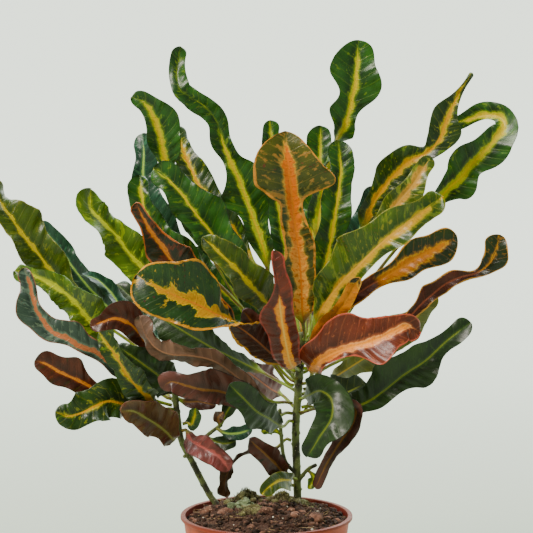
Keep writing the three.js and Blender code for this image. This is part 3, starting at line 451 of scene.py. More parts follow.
class Look(Enum):
    """How a leaf is coloured: the finish of each look."""

    GREEN = LeafFinish(
        "leaf_green", "#2a5a12", "#0e280a", "#ccae04", 1.5, 1.3, "#16350c", 0.4, "#3f661c",
        "#9fae3a", patch="#2f6212", patch_share=0.25, fleck="#7d9614", fleck_share=0.4,
        fringe="#98a40c", rib_base="#a4b41a")
    DARK = LeafFinish(
        "leaf_dark", "#243a12", "#10210a", "#68721e", 0.5, 0.4, "#12260c", 0.4, "#2a3a18",
        "#8a8a30", patch="#1f4010", patch_share=0.3, fleck="#3c5a1c", fleck_share=0.3, gloss=0.42)
    BLUE = LeafFinish(
        "leaf_blue", "#17402a", "#0a231a", "#93b24a", 0.7, 0.5, "#102b1a", 0.4, "#2f4a30",
        "#8f9a48", patch="#2c5c42", patch_share=0.35, fleck="#4a7a50", fleck_share=0.3)
    LIME = LeafFinish(
        "leaf_lime", "#54700e", "#2c480a", "#bcc01a", 1.3, 1.2, "#4a6c0a", 0.5, "#8a9c22",
        "#c0c440", patch="#80960e", patch_share=0.4, fleck="#a2aa18", fleck_share=0.5)
    OLIVE = LeafFinish(
        "leaf_olive", "#42540e", "#24380a", "#bca408", 1.3, 1.2, "#6a6a12", 0.5, "#5f621a",
        "#b3902a", patch="#566012", patch_share=0.45, fleck="#848018", fleck_share=0.4,
        rib_base="#a8a818")
    TAN = LeafFinish(
        "leaf_olive", "#43590a", "#243f08", "#c89418", 2.8, 1.6, "#7c7a1c", 0.5, "#6a601e",
        "#b88834", patch="#5c6e10", patch_share=0.5, fleck="#a89a24", fleck_share=0.35,
        core="#d49c30", fringe="#b09818")
    GOLD = LeafFinish(
        "leaf_gold", "#1e3c12", "#10240c", "#bc8200", 5.4, 4.2, "#c07e00", 2.0, "#3c180c",
        "#8a4a20", patch="#b48a04", patch_share=0.34, core="#c87204", fleck="#56660e",
        fleck_share=0.3, fringe="#c8a200")
    HOODED = LeafFinish(
        "leaf_orange", "#4c4c0c", "#2c360a", "#dc6c04", 5.8, 1.8, "#c88024", 1.6, "#7a4022",
        "#b97038", patch="#946826", patch_share=0.5, fleck="#a88c34", fleck_share=0.35,
        core="#d87404", fringe="#cc9428", rib_base="#dc9c40")
    FLAME = LeafFinish(
        "leaf_orange", "#6c2a1a", "#401810", "#ffa02c", 3.8, 1.2, "#93362a", 1.0, "#5c241a",
        "#b85f2c", patch="#6a2018", patch_share=0.3, fleck="#a03c1c", core="#ffbe58",
        fringe="#e0701c")
    PADDLE = LeafFinish(
        "leaf_orange", "#1d2d08", "#111c06", "#b46a00", 6.4, 2.4, "#c98c34", 0.8, "#4c2114",
        "#80402a", core="#b87002", fleck="#a86c0c", fleck_share=0.4, fringe="#bc8a08")
    POINTED = LeafFinish(
        "leaf_orange", "#263f0c", "#12260a", "#c48c00", 2.1, 1.8, "#2c3c0c", 0.4, "#64401c",
        "#a86c24", patch="#4c6a10", patch_share=0.35, core="#c88c08", fleck="#8a8a14",
        fleck_share=0.6, fringe="#b0a414")
    PEACH = LeafFinish(
        "leaf_olive", "#4f6014", "#2c4410", "#c49030", 3.2, 2.0, "#6f7420", 0.5, "#6a601e",
        "#b88834", patch="#7c8a20", patch_share=0.5, fleck="#b0a038", fleck_share=0.4,
        core="#cc9844")
    SALMON = LeafFinish(
        "leaf_salmon", "#6e2c18", "#42180e", "#f48a20", 3.4, 1.0, "#b8503a", 1.0, "#7e3424",
        "#c06e3c", patch="#7c3826", patch_share=0.3, fleck="#c86a3c", fleck_share=0.3,
        core="#fb9a34", fringe="#f0a060")
    MAROON = LeafFinish(
        "leaf_maroon", "#562412", "#30140c", "#c8761e", 1.1, 0.7, "#40180e", 0.4, "#4c2620",
        "#8a5034", patch="#3a2c0c", patch_share=0.3, fleck="#7a3a1c", fleck_share=0.3)
    EMBER = LeafFinish(
        "leaf_maroon", "#2a2812", "#161a0c", "#c8741c", 1.5, 1.0, "#b0581c", 0.9, "#582216",
        "#b06028", patch="#5c2812", patch_share=0.5, fleck="#7a401c", fleck_share=0.4)
    PURPLE = LeafFinish(
        "leaf_purple", "#5e3026", "#361a14", "#7c5024", 0.7, 0.5, "#30140f", 0.4, "#3c2420",
        "#6a4430", patch="#26200c", patch_share=0.3, fleck="#4c2c20", fleck_share=0.3, gloss=0.42)
    PINK = LeafFinish(
        "leaf_pink", "#644030", "#3c241a", "#a06c40", 0.9, 0.8, "#56301f", 0.4, "#70503e",
        "#9c6c50", patch="#4c3c1a", patch_share=0.3, fleck="#7a4e34", fleck_share=0.4)
    ROSE = LeafFinish(
        "leaf_rose", "#7a3230", "#4a1e18", "#a04a44", 1.0, 1.2, "#4a1c16", 0.8, "#6a2c26",
        "#94503e", patch="#4c2a12", patch_share=0.3, fleck="#8a4038", fleck_share=0.4, gloss=0.42)
    RUSSET = LeafFinish(
        "leaf_maroon", "#6a4a2c", "#40281a", "#8a8444", 0.7, 0.5, "#6c4230", 0.8, "#5c3c2c",
        "#8a6a44", patch="#54281c", patch_share=0.45, fleck="#6c5c24", fleck_share=0.4)
    LOOP = LeafFinish(
        "leaf_blue", "#34463a", "#202e28", "#a8623a", 1.9, 1.2, "#7c4a34", 0.5, "#5a3a2c",
        "#a8684a", patch="#4c5e50", patch_share=0.4, fleck="#74866c", fleck_share=0.4)
    WITHERED = LeafFinish(
        "leaf_withered", "#4c2e1e", "#2c1a10", "#6a4428", 0.7, 0.6, "#3c2214", 0.6, "#52341f",
        "#68452c", patch="#2a180d", patch_share=0.5, fleck="#6c4830", gloss=0.55)

    @property
    def material_name(self) -> str:
        """The name of its material."""
        return f"living_leaf_{self.name.lower()}_waxy"


@dataclass(frozen=True)
class BladeForm:
    """Sizes that all leaves share, in mm, degrees or shares.

    Side veins lean back from the midrib, and between them the blade domes up. The domes' heights
    are drawn from a range. Each wave of the veins is a height and a length. A lengthwise share
    is one of the blade's length, and a crosswise one is of its half-width.
    """

    petiole_half: float = 1.3
    petiole_thick: float = 2.3
    petiole_flat: float = 0.9
    blade_thick: float = 0.7
    margin_thin: float = 0.45
    rib_thick: float = 1.0
    rib_half: float = 1.3
    rib_taper: float = 0.6
    rib_above: float = 0.25
    tip_half: float = 0.25
    tip_calm: float = 0.12
    fold: float = 12.0
    onset: float = 0.1
    lobe_share: float = 0.14
    other_margin_start: float = 0.43
    bend_share: float = 0.8
    bend_reach: float = 0.02
    petiole_step: float = 3.5
    blade_step: float = 1.9
    fewest_steps: int = 12
    band_taper: float = 0.25
    band_fade: float = 0.14
    band_gone: float = 1.2
    vein_lean: float = 0.62
    vein_spacing: float = 7.0
    vein_offset: float = 1.8
    vein_offset_reach: float = 6
    vein_waves: tuple[Pair, ...] = ((1.1, 11), (0.9, 4.3))
    domes: int = 400
    dome_range: Pair = (0.2, 1.0)
    dome_seed: int = 100
    pucker: float = 2.1
    pucker_onset: Pair = (0.05, 0.4)
    pucker_full: float = 12
    pucker_least: float = 0.3
    ruffle_share: float = 0.32
    ruffle_count: float = 2.7
    ruffle_other_side: float = 1.3
    brown_fade: float = 0.05
    side_tint: float = 0.4
    side_edge: float = 0.05
    at_viewer: Pair = (0.15, 0.55)
    gap: float = 0.3
    elbow: float = 4.0


FORM = BladeForm()
ACROSS = np.array([-1, -0.965, -0.88, -0.75, -0.6, -0.45, -0.3, -0.17, -0.07, 0,
                   0.07, 0.17, 0.3, 0.45, 0.6, 0.75, 0.88, 0.965, 1])
TIP_SHARES = np.array([0.8, 0.62, 0.46, 0.33, 0.22, 0.13, 0.06, 0.02, 0.0])
EVENING = np.array([1, 2, 3, 2, 1]) / 9

# Noises over a blade: how they are drawn out across it, along it and from leaf to leaf, in
# lumps per mm, and their detail. Pigment spreads along the side veins, so most are drawn out
# across the blade.
PIGMENT = {
    "feather": ((0.05, 0.085, 7.3), 5.0),
    "speckle": ((0.4, 0.5, 5.1), 4.0),
    "fleck": ((0.2, 0.3, 11.3), 3.0),
    "patch": ((0.09, 0.17, 9.7), 4.0),
    "broad": ((0.05, 0.06, 3.7), 2.0),
}


@dataclass(frozen=True)
class LeafPaint:
    """The material of one leaf finish, read from values that each leaf's mesh carries.

    leaf_lines holds, in mm, the distance outside the midrib's band, the distance along the
    blade measured on slanting side veins, and the distance from the margin. leaf_state holds
    how much of a blade it is, whether it is the under face, and the leaf's own number.
    leaf_place holds the distance from the midrib in mm, and the place along the blade.

    Each edge is a pair: where its mask starts, at 0, and where it is full, at 1. Edges of the
    vein, rim, core, halo, fringe and dusk are in mm. Shares say how much a layer covers.
    """

    look: Look
    petiole: str = "#87a02c"
    petiole_dull: str = "#6a5226"
    feather_swing: float = 7.0
    rim_swing: float = 4.0
    band_edge: Pair = (0.3, -0.3)
    halo_edge: Pair = (2.2, 0.0)
    fringe_edge: Pair = (-1.6, -0.4)
    vein_edge: Pair = (0.6, 0.1)
    rim_edge: Pair = (0.5, -0.3)
    core_edge: Pair = (0.9, 0.4)
    core_end: Pair = (0.95, 0.7)
    dusk_edge: Pair = (9.0, 1.0)
    young_edge: Pair = (0.65, 0.15)
    cloud_edge: Pair = (0.35, 0.65)
    mottle_edge: Pair = (0.45, 0.7)
    fleck_edge: Pair = (0.6, 0.66)
    patch_start: float = 0.36
    patch_edge: float = 0.07
    halo_share: float = 0.45
    vein_share: float = 0.15
    dusk_share: float = 0.45
    cloud_share: float = 0.55
    mottle_tone: float = 0.72
    under_tone: float = 0.6
    grain_relief: float = 0.9
    vein_relief: float = 0.5
    bump_strength: float = 0.6
    bump_depth: float = 0.5
    gloss_range: Pair = (-0.06, 0.1)
    under_dull: float = 0.2
    wax: float = 0.36
    wax_off_band: float = -0.3

    def build(self) -> Material:
        """Make the material.

        Returns:
            The material, with its pattern scaled in mm.
        """
        finish, nodes = self.look.value, Nodes(self.look.material_name)
        put = nodes.put
        (rib, vein, edge), (blade, under, number), (aside, along_blade, _) = (
            put(Kind.SPLIT, [put(Kind.NOTED, attribute_name=key)]).node.outputs
            for key in ("leaf_lines", "leaf_state", "leaf_place"))
        spot = put(Kind.JOIN, [rib, vein, number])
        noises = {name: put(Kind.NOISE, {"Vector": put(Kind.STRETCH, [spot, stretch]),
                                         "Scale": 1.0, "Detail": detail, "Roughness": 0.6})
                  for name, (stretch, detail) in PIGMENT.items()}
        feather, speckle = noises["feather"], noises["speckle"]

        swing = self.feather_swing * finish.feather
        from_band = put(Kind.ADD, [rib, put(Kind.MULTIPLY_ADD, [feather, -swing, swing / 2])])
        band = put(Kind.SOFT, [from_band, *self.band_edge])
        halo = put(Kind.MULTIPLY, [put(Kind.SOFT, [from_band, *self.halo_edge]), self.halo_share])
        fringe = put(Kind.MULTIPLY, [band, put(Kind.SOFT, [from_band, *self.fringe_edge])])
        mottle = put(Kind.MULTIPLY, [band, put(Kind.SOFT, [speckle, *self.mottle_edge])])
        young = put(Kind.MULTIPLY, [band, put(Kind.SOFT, [along_blade, *self.young_edge])])
        core = put(Kind.MULTIPLY, [put(Kind.SOFT, [aside, *self.core_edge]),
                                   put(Kind.SOFT, [along_blade, *self.core_end])])
        to_vein = put(Kind.PINGPONG, [vein, FORM.vein_spacing / 2])
        vein_line = put(Kind.SOFT, [to_vein, *self.vein_edge])
        faint = put(Kind.MULTIPLY, [vein_line, self.vein_share])
        patch_from = self.patch_start * (2.0 - finish.patch_share)
        patch = put(Kind.SOFT, [noises["patch"], patch_from, patch_from + self.patch_edge])
        flecks = put(Kind.MULTIPLY, [put(Kind.SOFT, [noises["fleck"], *self.fleck_edge]),
                                     finish.fleck_share])
        ragged = put(Kind.MULTIPLY_ADD, [feather, self.rim_swing * finish.rim_width,
                                         -finish.rim_width])
        rim = put(Kind.SOFT, [put(Kind.SUBTRACT, [edge, ragged]), *self.rim_edge])
        clouds = put(Kind.SOFT, [noises["broad"], *self.cloud_edge])
        dusk = put(Kind.MULTIPLY_ADD, [put(Kind.SOFT, [rib, *self.dusk_edge]), self.dusk_share,
                                       put(Kind.MULTIPLY, [clouds, self.cloud_share])])

        upper = nodes.layered(finish.blade, [
            (dusk, finish.shade), (patch if finish.patch_share else 0.0, finish.patch),
            (faint, finish.fleck), (flecks, finish.fleck), (halo, finish.fleck),
            (rim, finish.rim), (band, finish.rib), (fringe, finish.fringe or finish.rib),
            (young, finish.rib_base or finish.rib), (mottle, linear(finish.rib, self.mottle_tone)),
            (core, finish.core or finish.rib)])
        lower = nodes.layered(finish.under, [
            (clouds, linear(finish.under, self.under_tone)), (faint, finish.under_rib),
            (rim, finish.rim), (core, finish.under_rib)])
        stalk = nodes.layered(self.petiole, [(clouds, self.petiole_dull)])
        colour = nodes.layered(stalk, [(blade, nodes.layered(upper, [(under, lower)]))])

        # Side veins stand out a little over fine grain, under a waxy gloss
        height = put(Kind.MULTIPLY_ADD, [speckle, self.grain_relief,
                                         put(Kind.MULTIPLY, [vein_line, self.vein_relief])])
        bump = put(Kind.BUMP, {"Height": height, "Strength": self.bump_strength,
                               "Distance": self.bump_depth * MM})
        rough = put(Kind.EVEN, [speckle, *MOST_NOISE,
                                *(finish.gloss + step for step in self.gloss_range)])
        return nodes.surface({
            "Base Color": colour, "Normal": bump,
            "Roughness": put(Kind.MULTIPLY_ADD, [under, self.under_dull, rough]),
            "IOR": 1.45, "Specular IOR Level": 0.22, "Coat Roughness": 0.3,
            "Coat Weight": put(Kind.MULTIPLY_ADD, [band, self.wax_off_band, self.wax])})


class StemName(Enum):
    """The two stems."""

    MAIN = "main"
    SIDE = "side"


MAIN, SIDE = StemName


@dataclass(frozen=True)
class Wave:
    """Waves of a leaf's margin: how high in mm, how many along the blade, and where they start."""

    height: float
    count: float
    start: float


@dataclass
class Leaf:
    """A leaf in one piece: a petiole from its stem, then a folded, waved and turned blade.

    seat is the height and the compass angle on the stem, 0 to the right and 90 to the back. A
    small leaf has none, since its route starts inside the twig that carries it.
    route leads the midrib, turn is how far the upper face turns from the viewer along it, and
    left and right are half-widths of the blade. bare is the petiole's share of the length. band
    widens the coloured rib, shift moves it to the right, and rib_end is where it fades. Up to
    the share brown the blade's upper face is brown like the under face. droop pulls the margins
    back toward the stem, as in a hood. number is the leaf's own, and seeds its domes.
    """

    name: str
    stem: StemName
    seat: Pair | None
    look: Look
    bare: float
    route: Points
    turn: list[float]
    left: list[float]
    right: list[float]
    wave: Wave
    droop: float = 0.0
    band: float = 1.0
    brown: float = 0.0
    shift: float = 0.0
    rib_end: float = 1.0
    number: int = 0
    places: Array = field(init=False, repr=False)

    def curve(self, stem: Stem) -> Curve:
        """Lead the midrib out of the stem's side and along its route.

        Args:
            stem: the stem that carries the leaf.

        Returns:
            The midrib.
        """
        if self.seat is None:
            return Curve(VIEWER.placed(self.route))
        height, compass = self.seat
        outward = np.array([math.cos(math.radians(compass)), math.sin(math.radians(compass)), 0])
        root = stem.curve.at_height(height)
        start = stem.radius + 2 * FORM.gap
        rise = np.array([0, 0, 1.0])
        begin = [root + outward * start, root + outward * (start + FORM.elbow) + rise]
        return Curve(np.vstack([begin, VIEWER.placed(self.route)]))

    def tip_length(self) -> float:
        """How far from its end the blade starts to round off, in mm."""
        return max(self.left[-1], self.right[-1])

    def stations(self, length: float) -> Array:
        """Choose places along the midrib, closer together in the tip.

        Args:
            length: the midrib's length, in mm.

        Returns:
            The places, from 0 at the stem to 1 at the tip.
        """
        petiole = self.bare * length
        tip = self.tip_length()
        blade_end = length - tip
        stalk = np.arange(0, petiole, FORM.petiole_step)
        count = max(FORM.fewest_steps, round((blade_end - petiole) / FORM.blade_step))
        blade = np.linspace(petiole, blade_end, count)
        return np.concatenate([stalk, blade, length - tip * TIP_SHARES]) / length

    def frames(self, curve: Curve) -> tuple[Array, ...]:
        """Work out the blade's directions at its places, from the tip back to the stem.

        Args:
            curve: the midrib.

        Returns:
            Points on the midrib, and the directions along it, out of the upper face and across.
        """
        centre, ahead = curve.point(self.places), curve.ahead(self.places)
        turn = np.radians(along(self.turn, self.places))
        uppers = np.empty_like(centre)
        facing = np.array([0.0, -1.0, 0.0])
        for i in reversed(range(len(self.places))):
            to_viewer = unit(VIEWER.eye - centre[i])
            seen = to_viewer - ahead[i] * to_viewer.dot(ahead[i])
            trust = smoothstep(np.linalg.norm(seen), *FORM.at_viewer)
            kept = unit(facing - ahead[i] * facing.dot(ahead[i]))
            facing = unit(kept * (1 - trust) + unit(seen) * trust)
            aside = np.cross(ahead[i], facing)
            uppers[i] = facing * math.cos(turn[i]) + aside * math.sin(turn[i])
        return centre, ahead, uppers, np.cross(ahead, uppers)

    def half_width(self, side: int, curve: Curve, across: Array, t: Array,
                   on_blade: Array) -> Array:
        """Half-width of one side of the blade at each place, in mm.

        Args:
            side: -1 on the left and 1 on the right.
            curve: the midrib.
            across: direction across the blade at each place.
            t: places along the blade, from 0 to 1.
            on_blade: how much of a blade each place is.

        Returns:
            The half-widths.
        """
        ends = self.left if side < 0 else self.right
        lobe = 1 + FORM.lobe_share * on_blade * np.cos(self.angle(side, t))
        drawn = along([FORM.petiole_half, *ends, ends[-1]], t) * lobe
        before, after = (curve.ahead(self.places + d) for d in (-FORM.bend_reach, FORM.bend_reach))
        bend = np.sum((after - before) * across, axis=1) * side
        room = FORM.bend_share * curve.length * 2 * FORM.bend_reach / np.maximum(bend, 1e-6)
        padded = np.pad(np.minimum(drawn, room), len(EVENING) // 2, mode="edge")
        bounded = np.convolve(padded, EVENING, mode="valid")
        to_end = np.clip((1 - self.places) * curve.length / self.tip_length(), 0, 1)
        return np.maximum(FORM.tip_half, bounded * np.sqrt(1 - (1 - to_end) ** 2))

    def angle(self, side: int, t: Array) -> Array:
        """Phase of the margin's waves on one side, in radians."""
        start = self.wave.start + (FORM.other_margin_start if side > 0 else 0)
        return 2 * math.pi * (self.wave.count * t + start)

    def veined(self, u: float, side: int, half: Array, travelled: Array) -> Array:
        """How far along the blade each point is, measured on its slanting side veins.

        Args:
            u: place across the blade, from -1 to 1.
            side: -1 on the left and 1 on the right.
            half: the blade's half-width at each place, in mm.
            travelled: distance along the midrib from the petiole's end, in mm.

        Returns:
            The distances, in mm.
        """
        offset = (FORM.vein_offset if side > 0 else 0) * min(1, abs(u) * FORM.vein_offset_reach)
        lean = travelled - abs(u) * half * FORM.vein_lean + offset
        (high, long), (low, short) = FORM.vein_waves
        slow = high * np.sin(lean / long + self.number)
        return lean + (slow + low * np.sin(lean / short + 2 * self.number))

    def build(self, stem: Stem) -> Object:
        """Make the leaf's mesh with the values that its material reads.

        Args:
            stem: the stem that carries it.

        Returns:
            The finished piece.
        """
        curve = self.curve(stem)
        self.places = self.stations(curve.length)
        centre, ahead, upper, across = self.frames(curve)
        t = (self.places - self.bare) / (1 - self.bare)
        inside = np.clip(t, 0, 1)
        on_blade = smoothstep(t, 0, FORM.onset)
        calm = smoothstep(1 - t, 0, FORM.tip_calm)
        fold = math.radians(FORM.fold)
        travelled = (self.places - self.bare) * curve.length
        widest = self.look.value.rib_half * self.band
        faded = smoothstep(t - self.rib_end + FORM.band_fade, 0, FORM.band_fade)
        band = widest * (1 - FORM.band_taper * inside) - FORM.band_gone * widest * faded
        halves = {side: self.half_width(side, curve, across, t, on_blade) for side in (-1, 1)}
        rng = np.random.default_rng(FORM.dome_seed + self.number)
        heights = rng.uniform(*FORM.dome_range, FORM.domes)
        over, under, lines, spots = [], [], [], []
        for u in ACROSS:
            side = -1 if u < 0 else 1
            half = halves[side]
            aside = abs(u) * half
            angle = self.angle(side, t)
            wave = self.wave.height * on_blade * u * u * np.sin(angle)
            ruffle = FORM.ruffle_count * angle + FORM.ruffle_other_side * side + self.number
            finer = self.wave.height * FORM.ruffle_share * on_blade * calm * abs(u) ** 3
            wave = wave + finer * np.sin(ruffle)
            lean = self.veined(u, side, half, travelled)
            cell = lean / FORM.vein_spacing
            own = (np.floor(cell).astype(int) * 2 + (side > 0)) % FORM.domes
            dome = np.sin(math.pi * cell) ** 2 * heights[own]
            onset = smoothstep(np.array(abs(u)), *FORM.pucker_onset)
            pucker = FORM.pucker * dome * on_blade * calm * onset
            pucker = pucker * np.clip(half / FORM.pucker_full, FORM.pucker_least, 1.0)
            lift = aside * math.sin(fold) * on_blade + wave + pucker
            middle = (centre + across * (u * half * np.cos(fold * on_blade))[:, None]
                      + upper * lift[:, None]
                      - ahead * (self.droop * half * u * u * on_blade)[:, None])
            swell = np.exp(-(aside / FORM.rib_half) ** 2) * (1 - FORM.rib_taper * inside)
            thin = FORM.blade_thick * (1 - FORM.margin_thin * abs(u) ** 6)
            stalk = FORM.petiole_thick * (1 - FORM.petiole_flat * u * u)
            above, below = (
                stalk / 2 + (thin / 2 + share * FORM.rib_thick * swell - stalk / 2) * on_blade
                for share in (FORM.rib_above, 1 - FORM.rib_above))
            over.append(middle + upper * above[:, None])
            under.append(middle - upper * below[:, None])
            lines.append(np.stack([abs(u * half - self.shift) - band, lean, half - aside], axis=1))
            spots.append(np.stack([aside + faded, t, np.full_like(t, side)], axis=1))
        loop, carried, placed = (np.stack(top + low[::-1], axis=1) for top, low in (
            (over, under), (lines, lines), (spots, spots)))
        rows, width = loop.shape[:2]
        state = np.zeros((rows, width, 3))
        state[:, :, 0] = on_blade[:, None]
        if self.brown:
            state[:, :, 1] = smoothstep(self.brown - t, 0, FORM.brown_fade)[:, None]
        state[:, width // 2:, 1] = 1
        sides = FORM.side_tint * smoothstep(ACROSS, -FORM.side_edge, FORM.side_edge)
        state[:, :, 2] = self.number + np.concatenate([sides, sides[::-1]])
        notes = {"leaf_lines": carried, "leaf_state": state, "leaf_place": placed}
        piece = mesh_object(f"{self.name}_blade", loop.reshape(-1, 3), strip_faces(rows, width),
                            self.material(), notes)
        return settle(piece, self.look.value.slot, *([self.name] if self.seat else []))

    def material(self) -> Material:
        """The material of this leaf's look, made the first time that it is asked for."""
        return bpy.data.materials.get(self.look.material_name) or LeafPaint(self.look).build()


def strip_faces(rows: int, width: int) -> list[tuple[int, ...]]:
    """Faces of a tube of flat rows, each a closed loop of points, with both ends closed.

    Args:
        rows: how many loops.
        width: points in each loop.

    Returns:
        Faces as point numbers.
    """
    faces = tube_faces(rows, width)[:-2]
    end = (rows - 1) * width
    for k in range(width // 2 - 1):
        faces.append((k + 1, k, width - 1 - k, width - 2 - k))
        faces.append((end + k, end + k + 1, end + width - 2 - k, end + width - 1 - k))
    return faces


